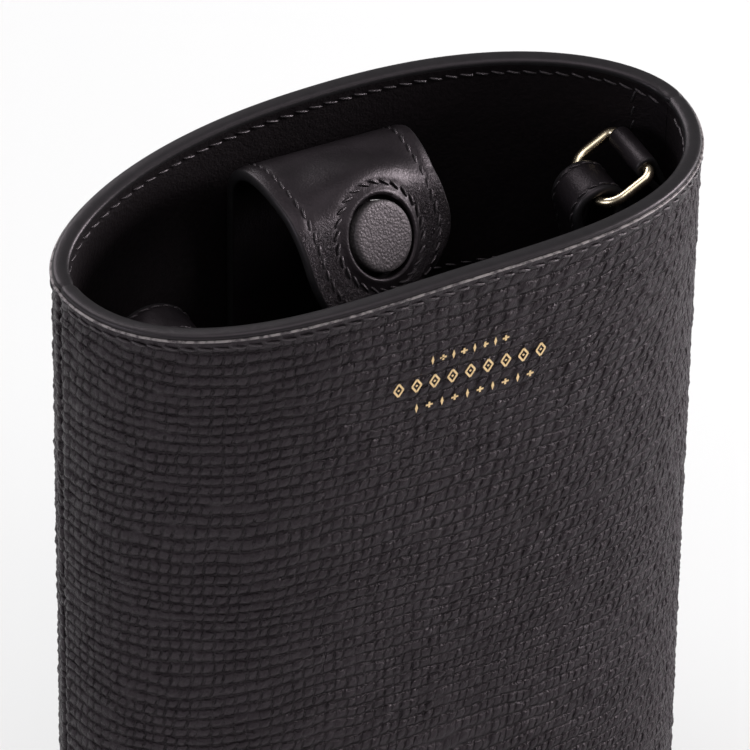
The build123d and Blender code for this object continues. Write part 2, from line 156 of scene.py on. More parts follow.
# foil ornament: left x, right x, height of the middle at either end, number of marks, half height
FOIL_ROWS = [(-5.6, 9.6, 172.1, 171.9, 8, 1.1),
             (-12.4, 17.3, 167.1, 166.0, 9, 1.55),
             (-8.5, 15.3, 161.3, 160.8, 10, 1.15)]
FOIL_TALL = 1.5             # rows of taller marks than this are open lozenges
FOIL_LINE = 0.20            # half the width of a drawn line
FOIL_LIFTS = (-0.12, -0.03)             # under and upper side of the foil, from the wall's smooth face

# stage: name, place, aim, size, power and colour of each lamp, in metres and watts
WORLD_LIGHT = 0.16
LAMPS = [("floor_light", (-0.3, -0.9, 3.4), (0.0, -0.2, 0.0), 2.8, 51.0, (1.0, 1.0, 1.0)),
         ("back_light", (-0.5, 2.3, 1.85), (0.0, 0.0, 0.1), 1.6, 42.0, (1.0, 1.0, 1.0)),
         ("front_light", (0.70, -1.55, 1.15), (0.0, 0.0, 0.17), 0.5, 2.3, (1.0, 0.97, 0.98)),
         ("right_light", (1.8, -0.32, 0.60), (0.0, 0.0, 0.12), 0.6, 46.0, (1.0, 0.98, 0.985)),
         ("left_light", (-1.7, -0.05, 0.70), (0.0, 0.0, 0.12), 0.6, 7.0, (0.92, 0.96, 1.0))]


# ---- camera
def make_camera():
    """A long lens that looks down into the mouth from the front left."""
    turn, tilt, roll = radians(27.67), radians(38.17), radians(0.71)
    distance, drop = 1755.0, 34.5       # to the mouth's middle, and from there down to the picture's middle
    back = Vector((-sin(turn) * cos(tilt), -cos(turn) * cos(tilt), sin(tilt)))
    up = Vector((sin(tilt) * sin(turn), sin(tilt) * cos(turn), cos(tilt)))
    right = up.cross(back)
    mouth = Vector((0.0, 0.0, MOUTH_CORNER))
    aim = mouth - (up * cos(roll) - right * sin(roll)) * drop
    data = bpy.data.cameras.new("camera")
    data.sensor_width = 36.0
    data.lens = 454.8
    data.clip_start, data.clip_end = 0.05, 50.0
    camera = bpy.data.objects.new("camera", data)
    camera.location = (mouth + back * distance) * MM
    camera.rotation_mode = "QUATERNION"
    facing = (aim * MM - camera.location).to_track_quat("-Z", "Y")
    camera.rotation_quaternion = facing @ Quaternion((0.0, 0.0, 1.0), roll)
    bpy.context.scene.collection.objects.link(camera)
    bpy.context.scene.camera = camera


# ---- small helpers
def smooth(t):
    """0 below 0, 1 above 1, and a smooth step between."""
    t = np.clip(t, 0.0, 1.0)
    return t * t * (3.0 - 2.0 * t)


def noise(u, v, seed):
    """Smooth noise between -1 and 1, with cells one unit wide."""
    cells = NOISE_CELLS
    table = np.random.RandomState(seed).uniform(-1.0, 1.0, (cells, cells))
    iu, iv = np.floor(u).astype(int), np.floor(v).astype(int)
    fu, fv = smooth(u - iu), smooth(v - iv)
    iu, iv, ju, jv = iu % cells, iv % cells, (iu + 1) % cells, (iv + 1) % cells
    low = table[iu, iv] * (1 - fu) + table[ju, iv] * fu
    high = table[iu, jv] * (1 - fu) + table[ju, jv] * fu
    return low * (1 - fv) + high * fv


def ridge(distance, width):
    """1 where distance is 0, falling off smoothly over the width."""
    return np.exp(-(distance / width) ** 2)


def beat(run, pitch=STITCH_PITCH):
    """Wave between 0 and 1 that repeats once a stitch."""
    return 0.5 + 0.5 * np.cos(2.0 * pi * run / pitch)


def unit(vectors):
    """The same vectors at length one."""
    return vectors / np.maximum(np.linalg.norm(vectors, axis=-1, keepdims=True), 1e-9)


def lengths_along(points):
    """Distance along a line of points."""
    steps = np.linalg.norm(np.diff(points, axis=0), axis=1)
    return np.concatenate([[0.0], np.cumsum(steps)])


def at_lengths(points, wanted):
    """Points at the wanted distances along a line of points."""
    run = lengths_along(points)
    return np.stack([np.interp(wanted, run, points[:, k]) for k in range(points.shape[1])], axis=1)


def grid_faces(rows, cols, first=0, closed=False):
    """Quads of a grid of points that are numbered row by row."""
    row = np.arange(rows - 1)[:, None] * cols
    col = np.arange(cols if closed else cols - 1)[None, :]
    nxt = (col + 1) % cols
    quads = np.stack([row + col, row + nxt, row + cols + nxt, row + cols + col], axis=-1)
    return (quads.reshape(-1, 4) + first).tolist()


def end_faces(rows, cols):
    """The two faces that close a tube of rows of points."""
    return [list(range(cols))[::-1], list(range((rows - 1) * cols, rows * cols))]


def turns_round(count):
    """Turns of evenly spaced points round a circle."""
    return np.linspace(0.0, 2.0 * pi, count, endpoint=False)


def circles(beside, normal, around):
    """Unit circles round a line, in the planes of two directions at each of its points."""
    return (beside[:, None, :] * np.cos(around)[None, :, None]
            + normal[:, None, :] * np.sin(around)[None, :, None])


def add_piece(name, points, faces, materials, sharp=70.0, indices=None):
    """A mesh object from points in millimetres."""
    mesh = bpy.data.meshes.new(name)
    mesh.from_pydata((np.asarray(points, float) * MM).tolist(), [], faces)
    mesh.shade_smooth()
    for made in materials:
        mesh.materials.append(made)
    if indices is not None:
        mesh.polygons.foreach_set("material_index", np.asarray(indices, np.int32))
    mesh.set_sharp_from_angle(angle=radians(sharp))
    mesh.update()
    piece = bpy.data.objects.new(name, mesh)
    bpy.context.scene.collection.objects.link(piece)
    return piece


def dress(piece, slot, body, *nodes):
    """The body that a piece rides on, and the CAD nodes that it stands for, which it hides. The slot is not
    used.
    """
    if nodes:
        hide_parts(*nodes)
    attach(piece, body)


def add_value(piece, name, values):
    """One number per point, for the piece's material to read."""
    layer = piece.data.attributes.new(name, "FLOAT", "POINT")
    full = np.zeros(len(piece.data.vertices), np.float32)
    full[:len(values)] = values
    layer.data.foreach_set("value", full)


# ---- shape of the walls
def half_length(z):
    """Distance from the middle to a side seam at height z."""
    return SEAM_HALF - FOOT_TUCK * np.exp(-z / FOOT_ROUND)


def half_depth(side, z):
    """How far the front or back panel bows out at height z."""
    tuck = FOOT_TUCK * np.exp(-z / FOOT_ROUND)
    share = np.clip(z / MOUTH_TOP, 0.0, None)
    if side == FRONT:
        return FRONT_FOOT + FRONT_FLARE * share ** FRONT_BOW - tuck
    return BACK_FOOT + BACK_FLARE * share ** BACK_BOW - tuck


def wall(side, z, turn, inset):
    """Points of a wall at heights z, turns from 0 at the left seam to pi at the right, moved in by inset."""
    z, turn, inset = np.broadcast_arrays(np.asarray(z, float), turn, inset)
    a, b = half_length(z), half_depth(side, z)
    full = FRONT_FULLNESS if side == FRONT else BACK_FULLNESS
    turn = np.clip(turn, 1e-4, pi - 1e-4)
    c, s = np.cos(turn), np.sin(turn)
    depth = np.sqrt(1.0 - np.abs(c) ** full)
    dx = a * s
    dy = b * full * np.abs(c) ** (full - 1.0) * np.sign(c) * s / (2.0 * depth)
    size = np.hypot(dx, dy)
    return np.stack([-a * c + inset * dy / size, side * (b * depth - inset * dx / size), z], axis=-1)


def rim_height(side, x):
    """Height of the curved rim line at x."""
    return MOUTH_CORNER + MOUTH_RISE[side] * (1.0 - (x / SEAM_HALF) ** 2)


def even_turns(side, count, start=0.0, stop=pi):
    """Turns that cut a panel's outline at the mouth into equal lengths, and the length at each."""
    fine = np.linspace(start, stop, 3001)
    run = lengths_along(wall(side, MOUTH_TOP, fine, 0.0))
    along = np.linspace(0.0, run[-1], count)
    return np.interp(along, run, fine), along


def outward(side, points):
    """Normals of a grid of wall points, out of the case."""
    across = np.gradient(points, axis=1)
    rise = np.gradient(points, axis=0)
    return unit(np.cross(across, rise) * -side)


def wall_shell(name, side, seen, hidden, bottom, drop, cell, relief, materials, top=None):
    """A wall layer as a closed shell, with a fine relief on the face at inset seen and a plain one at hidden.
    It reaches up to drop under the rim line, or to the height top."""
    turn, along = even_turns(side, int(PANEL_SPAN * SEAM_HALF / cell))
    cols = len(turn)
    edge_x = wall(side, MOUTH_TOP, turn, 0.0)[:, 0]
    edge = rim_height(side, edge_x) - drop if top is None else np.full(cols, top)
    rows = int((edge.max() - bottom) / cell)
    z = bottom + (edge - bottom)[None, :] * np.linspace(0.0, 1.0, rows)[:, None]
    face = wall(side, z, turn[None, :], seen)
    facing_out = 1.0 if seen < hidden else -1.0
    normal = outward(side, face) * facing_out
    height, values = relief(along[None, :] + 0.0 * z, z, edge[None, :] - z, along[-1])
    face = face + normal * height[..., None]
    hidden_z = bottom + (edge - bottom)[None, :] * np.linspace(0.0, 1.0, HIDDEN_ROWS)[:, None]
    behind = wall(side, hidden_z, turn[None, :], hidden)
    points = np.concatenate([face.reshape(-1, 3), behind.reshape(-1, 3)])
    first = rows * cols
    faces = grid_faces(rows, cols)
    turned = [quad[::-1] for quad in grid_faces(HIDDEN_ROWS, cols, first)]
    foot = [[i + 1, i, first + i, first + i + 1] for i in range(cols - 1)]
    last, last_hidden = (rows - 1) * cols, first + (HIDDEN_ROWS - 1) * cols
    head = [[last + i, last + i + 1, last_hidden + i + 1, last_hidden + i] for i in range(cols - 1)]
    left = [i * cols for i in range(rows)] + [first + i * cols for i in reversed(range(HIDDEN_ROWS))]
    right = [i * cols + cols - 1 for i in reversed(range(rows))]
    right += [first + i * cols + cols - 1 for i in range(HIDDEN_ROWS)]
    faces = faces + turned + foot + head + [left, right]
    if (side == BACK) == (facing_out > 0):
        faces = [quad[::-1] for quad in faces]
    piece = add_piece(name, points, faces, materials)
    for label, grid in values.items():
        add_value(piece, label, grid.ravel())
    return piece


# ---- relief of the leathers
def split_cells(position, seed, row, spread):
    """Cell number and place in the cell, 0 to 1, for cells of uneven width along each row."""
    table = np.random.RandomState(seed).uniform(-spread, spread, (GRAIN_CELLS, GRAIN_CELLS))

    def border(i):
        """Place of a cell's left border."""
        return i + table[i.astype(int) % GRAIN_CELLS, row.astype(int) % GRAIN_CELLS]

    cell = np.floor(position)
    cell = np.where(position < border(cell), cell - 1, cell)
    cell = np.where(position >= border(cell + 1), cell + 1, cell)
    low, high = border(cell), border(cell + 1)
    return cell, (position - low) / (high - low)


def dome(t, power):
    """A pillow's height from 0 at both borders to 1 in the middle."""
    return 1.0 - np.abs(2.0 * t - 1.0) ** power


def cross_grain(u, v, seed):
    """Height of the embossed cells, and the smooth row and column numbers that they follow."""
    # rows wander in long and short waves
    row = v / ROW_PITCH + 0.60 * noise(u / 30.0, v / 16.0, seed) + 0.17 * noise(u / 6.0, v / 5.5, seed + 1)
    number, fr = np.floor(row), row - np.floor(row)
    # columns wander too, lean over, and step a little from row to row
    walk = np.cumsum(np.random.RandomState(seed + 2).uniform(-0.13, 0.13, GRAIN_CELLS))
    lean = LEAN_MOST * smooth((u - LEAN_START) / LEAN_RUN)
    position = (u - lean * (v - LEAN_LEVEL)) / COL_PITCH + 0.55 * noise(u / 26.0, v / 22.0, seed + 4)
    position = position + walk[number.astype(int) % GRAIN_CELLS] - 0.30 * (fr - 0.5)
    cell, fc = split_cells(position, seed + 5, number, 0.17)
    # each cell is a pillow with its own fullness, height and tilt
    random = np.random.RandomState(seed + 6).uniform(0.0, 1.0, (GRAIN_CELLS, GRAIN_CELLS, 3))
    own = random[cell.astype(int) % GRAIN_CELLS, number.astype(int) % GRAIN_CELLS]
    pillow = dome(fr, 1.8) * (0.40 + 0.60 * (0.45 + 0.55 * own[..., 0]) * dome(fc, 1.8))
    pillow = pillow * (0.72 + 0.44 * own[..., 1])
    tilt = 0.34 * (own[..., 2] - 0.5) * (2.0 * fc - 1.0) * dome(fr, 2.0)
    # slanting creases run across the cells
    crease_u, crease_v = u * 0.82 - v * 0.57, u * 0.57 + v * 0.82
    crease = 1.0 - np.abs(noise(crease_u / 0.95, crease_v / 2.3, seed + 7))
    crease = crease + 0.6 * (1.0 - np.abs(noise(crease_v / 1.1, crease_u / 2.6, seed + 8)))
    height = pillow + tilt - 0.20 * crease
    return height - 0.75, {"row": row, "column": cell + fc}


def outer_relief(seed):
    """Relief of an outer panel: embossing, the furrow of the rim's stitches and the turned side seams."""
    def relief(u, v, below, total):
        height, values = cross_grain(u, v, seed)
        near_rim = smooth((below - 1.5) / 2.0)
        values["emboss"] = 0.25 + 0.75 * near_rim
        seam = np.minimum(u, total - u)
        height = EMBOSS * height * (0.20 + 0.80 * near_rim) * (0.45 + 0.55 * smooth((seam - 0.6) / 2.4))
        height = height - 0.30 * ridge(below + RIM_BEAD - EDGE_STITCH, 0.55) * (0.6 + 0.5 * beat(u))
        pull = 0.8 + 0.35 * np.cos(2.0 * pi * v / STITCH_PITCH + 0.7 * noise(v / 9.0, v * 0.0, seed + 9))
        height = height - SEAM_TURN * np.clip(1.0 - seam / (SEAM_WIDTH * pull), 0.0, 1.0) ** 2.2
        return height + 0.16 * ridge(seam - 2.0, 0.9), values
    return relief


def facing_relief(seed):
    """Relief of the smooth facing: soft waves, and the furrow of the stitches under the rim."""
    def relief(u, v, below, total):
        waves = 0.10 * noise(u / 14.0, v / 11.0, seed) + 0.05 * noise(u / 4.0, v / 5.0, seed + 1)
        fine = 0.035 * (1.0 - np.abs(noise(u / 1.3, v / 1.1, seed + 2)))
        furrow = 0.16 * ridge(below + RIM_BEAD - EDGE_STITCH, 0.6) * (0.6 + 0.5 * beat(u))
        return waves + fine - furrow, {}
    return relief


def lining_relief(seed):
    """Relief of the suede lining: slack waves."""
    def relief(u, v, below, total):
        return 0.10 * noise(u / 17.0, v / 23.0, seed) - 0.06 * (1 + noise(u / 5.0, v / 9.0, seed + 1)), {}
    return relief


# ---- materials
class Look:
    """A Principled material while its nodes are being added."""

    def __init__(self, name, color, roughness, metallic=0.0, gloss=0.5, tint=LEATHER_TINT):
        self.material = bpy.data.materials.new(name)
        self.material.use_nodes = True
        self.tree = self.material.node_tree
        self.bsdf = self.tree.nodes["Principled BSDF"]
        self.bsdf.inputs["Base Color"].default_value = (*color, 1.0)
        self.bsdf.inputs["Roughness"].default_value = roughness
        self.bsdf.inputs["Metallic"].default_value = metallic
        self.bsdf.inputs["Specular IOR Level"].default_value = gloss
        sheen = tint if metallic == 0.0 else (1.0, 1.0, 1.0)
        self.bsdf.inputs["Specular Tint"].default_value = (*sheen, 1.0)
        self.place = self.add("ShaderNodeTexCoord").outputs["Object"]
        self.material.diffuse_color = (*color, 1.0)

    def add(self, kind, **settings):
        """A new node with those settings."""
        node = self.tree.nodes.new(kind)
        for key, value in settings.items():
            setattr(node, key, value)
        return node

    def feed(self, socket, value):
        """Links a socket to another, or sets it to a number or colour."""
        if isinstance(value, bpy.types.NodeSocket):
            self.tree.links.new(value, socket)
        else:
            socket.default_value = value

    def math(self, operation, one, two=0.0):
        """Result of a math node."""
        node = self.add("ShaderNodeMath", operation=operation)
        self.feed(node.inputs[0], one)
        self.feed(node.inputs[1], two)
        return node.outputs[0]

    def remap(self, value, low, high, to_low=0.0, to_high=1.0):
        """A value brought smoothly from one range to another."""
        node = self.add("ShaderNodeMapRange", interpolation_type="SMOOTHSTEP")
        self.feed(node.inputs["Value"], value)
        for socket, number in zip(("From Min", "From Max", "To Min", "To Max"), (low, high, to_low, to_high)):
            node.inputs[socket].default_value = number
        return node.outputs["Result"]

    def noise(self, size, detail=2.0, rough=0.5, stretch=(1.0, 1.0, 1.0), lean=0.0):
        """Noise with blobs of about that size in millimetres, drawn out and leant over in the XZ plane."""
        mapping = self.add("ShaderNodeMapping", vector_type="TEXTURE")
        self.tree.links.new(self.place, mapping.inputs["Vector"])
        mapping.inputs["Scale"].default_value = stretch
        mapping.inputs["Rotation"].default_value = (0.0, radians(lean), 0.0)
        node = self.add("ShaderNodeTexNoise")
        self.tree.links.new(mapping.outputs["Vector"], node.inputs["Vector"])
        node.inputs["Scale"].default_value = 1.0 / (size * MM)
        node.inputs["Detail"].default_value = detail
        node.inputs["Roughness"].default_value = rough
        return node.outputs["Fac"]

    def pebbles(self, size):
        """Small cells, 0 in the middle of each."""
        node = self.add("ShaderNodeTexVoronoi")
        self.tree.links.new(self.place, node.inputs["Vector"])
        node.inputs["Scale"].default_value = 1.0 / (size * MM)
        return node.outputs["Distance"]

    def attribute(self, name):
        """The number that add_value gave each point."""
        return self.add("ShaderNodeAttribute", attribute_name=name).outputs["Fac"]

    def mix(self, share, one, two):
        """Colour between two others."""
        node = self.add("ShaderNodeMix", data_type="RGBA")
        self.feed(node.inputs["Factor"], share)
        self.feed(node.inputs[6], (*one, 1.0) if isinstance(one, tuple) else one)
        self.feed(node.inputs[7], (*two, 1.0) if isinstance(two, tuple) else two)
        return node.outputs[2]

    def shade(self, value, low, high, dark, light):
        """Colour that goes from one to the other as a value goes from low to high."""
        return self.mix(self.remap(value, low, high), dark, light)

    def bumps(self, *layers):
        """Normal with bumps of (height, depth in millimetres), each on top of the one before."""
        normal = None
        for height, depth in layers:
            node = self.add("ShaderNodeBump")
            node.inputs["Distance"].default_value = depth * MM
            self.feed(node.inputs["Height"], height)
            if normal is not None:
                self.tree.links.new(normal, node.inputs["Normal"])
            normal = node.outputs["Normal"]
        return normal

    def finish(self, color, roughness=None, normal=None):
        """The material, with what was made linked to it."""
        for socket, value in (("Base Color", color), ("Roughness", roughness), ("Normal", normal)):
            if value is not None:
                self.feed(self.bsdf.inputs[socket], value)
        return self.material


def make_outer_leather():
    """Embossed calf: broken grooves between rows and columns of cells, slanting wrinkles and small glints."""
    look = Look("outer_leather", (0.013, 0.0105, 0.0125), 0.40, 0.0, 0.30)
    waver = look.math("MULTIPLY", look.math("SUBTRACT", look.noise(1.3, 3.0, 0.6), 0.5), 0.34)
    faint = look.noise(4.5, 2.0, 0.5)
    grooves = []
    # a groove starts at that share of the way out from a row's middle, and breaks up where the noise is low
    for name, start, low, high in (("row", 0.60, 0.26, 0.46), ("column", 0.62, 0.36, 0.54)):
        place = look.math("FRACT", look.math("ADD", look.attribute(name), waver))
        apart = look.math("ABSOLUTE", look.math("SUBTRACT", place, 0.5))
        line = look.remap(look.math("MULTIPLY", apart, 2.0), start, 1.0)
        grooves.append(look.math("MULTIPLY", line, look.remap(faint, low, high, 0.25, 1.0)))
    groove = look.math("MAXIMUM", grooves[0], look.math("MULTIPLY", grooves[1], 0.85))
    groove = look.math("MULTIPLY", groove, look.attribute("emboss"))
    wrinkles = look.noise(0.75, 3.0, 0.65, (1.0, 1.0, 2.6), 33.0)
    fibres = look.noise(0.30, 3.0, 0.6)
    cloudy = look.noise(9.0, 3.0, 0.55)
    normal = look.bumps((groove, -0.60), (wrinkles, 0.40), (fibres, 0.16))
    base = look.shade(cloudy, 0.3, 0.7, (0.0105, 0.0080, 0.0098), (0.0160, 0.0126, 0.0150))
    # the grooves are painted darker than the cells: painted shade in the hollows of the embossing
    color = look.mix(look.math("MULTIPLY", groove, 0.8), base, (0.0022, 0.0017, 0.0020))
    glint = look.math("MULTIPLY", look.remap(groove, 0.05, 0.5), look.remap(fibres, 0.50, 0.62))
    plain = look.remap(wrinkles, 0.3, 0.7, 0.46, 0.34)
    roughness = look.math("SUBTRACT", plain, look.math("MULTIPLY", glint, 0.2))
    return look.finish(color, roughness, normal)


def make_smooth_leather():
    """Smooth calf of the tab and strap, with fine pores, and a broken grain where it is worn."""
    look = Look("smooth_leather", (0.008, 0.0065, 0.0078), 0.42, 0.0, 0.32)
    worn = look.attribute("worn")
    pores, waves = look.pebbles(0.42), look.noise(2.4, 2.0, 0.5)
    fine = look.noise(0.35, 3.0, 0.6)
    grain = look.noise(0.62, 4.0, 0.68)
    cloudy = look.noise(7.0, 3.0, 0.6)
    broken = look.math("MULTIPLY", look.remap(grain, 0.35, 0.65), worn)
    normal = look.bumps((waves, 0.08), (pores, 0.03), (broken, 0.30))
    color = look.shade(cloudy, 0.3, 0.7, (0.0058, 0.0046, 0.0055), (0.0105, 0.0084, 0.0100))
    shine = look.math("MULTIPLY", look.remap(grain, 0.45, 0.6), look.math("MULTIPLY", worn, 0.16))
    roughness = look.math("SUBTRACT", look.remap(fine, 0.3, 0.7, 0.47, 0.38), shine)
    return look.finish(color, roughness, normal)


def make_facing_leather():
    """The same calf inside the mouth, rubbed matte, with a faint grain, coloured darker than the outer calf
    as painted shade for the dim inside of the case.
    """
    look = Look("facing_leather", (0.006, 0.005, 0.0055), 0.52, 0.0, 0.22)
    grain = look.noise(1.1, 4.0, 0.62)
    normal = look.bumps((grain, 0.16), (look.pebbles(0.5), 0.05))
    # both colours lie well under the outer calf's: painted shade inside the mouth
    color = look.shade(grain, 0.35, 0.65, (0.0035, 0.0026, 0.0030), (0.0070, 0.0054, 0.0061))
    return look.finish(color, look.remap(grain, 0.3, 0.7, 0.62, 0.50), normal)


def make_suede():
    """Dark suede lining with a short nap."""
    look = Look("lining_suede", (0.004, 0.003, 0.0035), 0.92, 0.0, 0.10)
    nap = look.noise(0.5, 4.0, 0.7)
    strokes = look.noise(11.0, 2.0, 0.5)
    color = look.shade(strokes, 0.3, 0.7, (0.0028, 0.0021, 0.0025), (0.0052, 0.0041, 0.0047))
    return look.finish(color, None, look.bumps((nap, 0.20)))


def make_edge_paint(name, light, rough):
    """Painted and polished cut edge: smooth, with faint ripples and dust."""
    look = Look(name, (light, light * 0.92, light * 0.99), rough, 0.0, 0.35)
    ripples = look.noise(1.8, 3.0, 0.55)
    dust = look.noise(0.22, 2.0, 0.7)
    color = look.shade(ripples, 0.3, 0.7, (light * 0.88, light * 0.85, light * 0.91),
                       (light * 1.12, light * 1.08, light * 1.15))
    roughness = look.remap(dust, 0.3, 0.7, rough + 0.05, rough - 0.05)
    return look.finish(color, roughness, look.bumps((ripples, 0.07), (dust, 0.015)))


def make_fibrous(name, color, rough, grain, share, dark, light, depth):
    """A material whose colour and bump both follow one noise."""
    look = Look(name, color, rough)
    fibres = look.noise(*grain)
    return look.finish(look.shade(fibres, *share, dark, light), None, look.bumps((fibres, depth)))


def make_lip():
    """Raw cut edge of the outer leather, painted pale in patches: a painted highlight for the top light that
    the edge catches.
    """
    look = Look("edge_lip", (0.15, 0.13, 0.135), 0.38)
    patches = look.noise(1.3, 3.0, 0.6)
    # the pale patches are a painted highlight along the edge
    color = look.shade(patches, 0.38, 0.60, (0.05, 0.044, 0.047), (0.26, 0.235, 0.235))
    return look.finish(color, None, look.bumps((look.noise(0.5, 3.0, 0.6), 0.10)))


def make_cap_leather():
    """Fine grained grey leather over the magnet, lighter on its pebbles and painted darker in the hollows
    between them as shade.
    """
    look = Look("cap_leather", (0.08, 0.073, 0.075), 0.50)
    grain = look.pebbles(0.55)
    fine = look.noise(0.4, 3.0, 0.6)
    # pebble middles light, borders dark: painted shade in the hollows of the grain
    color = look.shade(grain, 0.15, 0.55, (0.080, 0.071, 0.073), (0.046, 0.041, 0.043))
    roughness = look.remap(fine, 0.3, 0.7, 0.56, 0.46)
    return look.finish(color, roughness, look.bumps((grain, -0.10), (fine, 0.06)))


def make_metal(name, color, rough, wear):
    """Plated metal with faint polishing marks."""
    look = Look(name, color, rough, 1.0)
    marks = look.noise(1.2, 4.0, 0.6)
    fine = look.noise(0.10, 2.0, 0.6)
    mixed = look.shade(marks, 0.35, 0.7, color, tuple(k * 0.86 for k in color))
    return look.finish(mixed, look.remap(marks, 0.3, 0.7, rough, rough + wear), look.bumps((fine, 0.004)))


def make_floor_paper():
    """Plain pale studio paper."""
    look = Look("studio_paper", (0.79, 0.79, 0.79), 0.9, 0.0, 0.0, (1.0, 1.0, 1.0))
    fibre = look.noise(1.5, 2.0, 0.5)
    return look.finish(look.mix(fibre, (0.788, 0.788, 0.788), (0.792, 0.792, 0.792)))


# ---- threads, bands and tubes
def sew(name, line, normals, body, pitch=STITCH_PITCH, slant=0.22, radius=THREAD_R, seed=1):
    """A row of stitches along a line of points on a surface, each one an arched thread between two holes.
    A stitch leans across the row by the slant, as a share of the pitch."""
    run = lengths_along(line)
    count = max(int(round(run[-1] / pitch)), 2)
    pitch = run[-1] / count
    random = np.random.RandomState(seed)
    rings, sides = 7, 6
    around = turns_round(sides)
    points, faces = [], []
    for i in range(count):
        share = np.linspace(0.01, 0.99, rings) + random.uniform(-0.02, 0.02)
        where = (i + share) * pitch
        centre = at_lengths(line, where)
        normal = unit(np.stack([np.interp(where, run, normals[:, k]) for k in range(3)], axis=1))
        along = unit(np.gradient(centre, axis=0))
        beside = np.cross(along, normal)
        lean = (share - 0.5) * pitch * (slant + random.uniform(-0.06, 0.06))
        arch = 0.95 * np.sin(pi * (share - share[0]) / (share[-1] - share[0])) ** 0.4
        lift = radius * (-0.75 + 1.25 * arch)
        thick = radius * (0.55 + 0.45 * arch)
        centre = centre + beside * lean[:, None] + normal * lift[:, None]
        ring = circles(beside, normal, around)
        first = len(points) * rings * sides
        points.append((centre[:, None, :] + ring * thick[:, None, None]).reshape(-1, 3))
        faces += grid_faces(rings, sides, first, closed=True)
        faces += [list(range(first, first + sides))[::-1]]
        faces += [list(range(first + (rings - 1) * sides, first + rings * sides))]
    piece = add_piece(name, np.concatenate(points), faces, [thread], sharp=180.0)
    if body is not None:
        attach(piece, body)
    return piece


def band(name, line, half, thick, leather, edge, furrow=None):
    """A strip of leather along a line of points in an XZ plane, with rounded painted edges."""
    across = np.array([0.0, 1.0, 0.0])
    along = unit(np.gradient(line, axis=0))
    normal = unit(np.cross(along, across))
    rim = np.linspace(-pi / 2, pi / 2, 7)
    flat = half - 0.5 * thick
    side = np.linspace(-flat, flat, 25)
    crown = 0.04 * np.cos(0.5 * pi * side / flat)
    if furrow is not None:
        crown = crown - 0.11 * ridge(np.abs(side) - (half - furrow), 0.35)
    upper = np.stack([side, 0.5 * thick + crown], axis=1)
    right = np.stack([flat + 0.5 * thick * np.cos(rim[::-1]), 0.5 * thick * np.sin(rim[::-1])], axis=1)[1:-1]
    section = np.concatenate([upper, right, -upper, -right])
    points = (line[:, None, :] + across[None, None, :] * section[None, :, 0, None]
              + normal[:, None, :] * section[None, :, 1, None])
    rows, cols = len(line), len(section)
    faces = grid_faces(rows, cols, 0, closed=True)
    painted = set(range(len(side) - 1, len(side) + len(right))) | set(range(cols - len(right) - 1, cols))
    indices = [1 if i % cols in painted else 0 for i in range(len(faces))]
    faces += end_faces(rows, cols)
    return add_piece(name, points.reshape(-1, 3), faces, [leather, edge], 60.0, indices + [1, 1])


def round_tube(name, line, plane_normal, radius, material):
    """A round wire bent to a closed loop that lies in one plane."""
    along = unit(np.roll(line, -1, axis=0) - np.roll(line, 1, axis=0))
    rows, cols = len(line), 24
    flat = np.tile(np.array(plane_normal, float), (rows, 1))
    around = turns_round(cols)
    points = line[:, None, :] + radius * circles(unit(np.cross(along, flat)), flat, around)
    faces = grid_faces(rows, cols, 0, closed=True)
    last = (rows - 1) * cols
    faces += [[last + j, last + (j + 1) % cols, (j + 1) % cols, j] for j in range(cols)]
    return add_piece(name, points.reshape(-1, 3), faces, [material], 180.0)


def loop_line(centre, radius, neck, gap, leg):
    """Points (x, z) of a strip that comes up, goes round a circle and comes back down beside itself."""
    centre, neck = np.array(centre, float), np.array(neck, float)
    down = unit(neck - centre)
    side = np.array([-down[1], down[0]])
    drop = np.linalg.norm(neck - centre)
    lean = atan2(-drop, gap) + acos(radius / sqrt(drop ** 2 + gap ** 2))
    turns = np.linspace(lean, pi - lean, 60)
    arc = centre + radius * (np.cos(turns)[:, None] * side - np.sin(turns)[:, None] * down)
    foot = np.array([0.0, -leg])
    shift = np.array([gap if side[0] > 0 else -gap, 0.0])
    corners = np.concatenate([[neck + shift + foot, neck + shift], arc, [neck - shift, neck - shift + foot]])
    even = at_lengths(corners, np.arange(0.0, lengths_along(corners)[-1], 0.4))
    kernel = np.ones(7) / 7.0
    padded = np.concatenate([np.repeat(even[:1], 3, axis=0), even, np.repeat(even[-1:], 3, axis=0)])
    even = np.stack([np.convolve(padded[:, k], kernel, mode="valid") for k in range(2)], axis=1)
    return np.stack([even[:, 0], 0.0 * even[:, 0], even[:, 1]], axis=1)


# ---- walls
def make_walls():
    """Outer panels, facings, linings and the painted rim, front and back."""
    for side in (FRONT, BACK):
        name = NAMES[side]
        seed = 11 if side == FRONT else 61
        piece = wall_shell(f"{name}_leather", side, 0.0, OUTER_LEATHER, FOOT_LIFT, RIM_BEAD + RIM_GAP,
                           OUTER_CELL, outer_relief(seed), [outer_leather])
        dress(piece, "outer_leather", "case", f"{name}_outer_panel")
        piece = wall_shell(f"{name}_facing_leather", side, FACING_OUT, LINING_IN, FACING_BOTTOM,
                           RIM_BEAD + RIM_GAP, FACING_CELL, facing_relief(seed + 20), [facing_leather])
        dress(piece, "smooth_leather", "case", f"{name}_facing")
        piece = wall_shell(f"{name}_suede", side, LINING_OUT, LINING_IN, LINING_BOTTOM, 0.0,
                           SUEDE_CELL, lining_relief(seed + 30), [suede], top=LINING_TOP)
        dress(piece, "lining_suede", "case", f"{name}_lining")
        make_rim(side)
        sew_mouth(side)


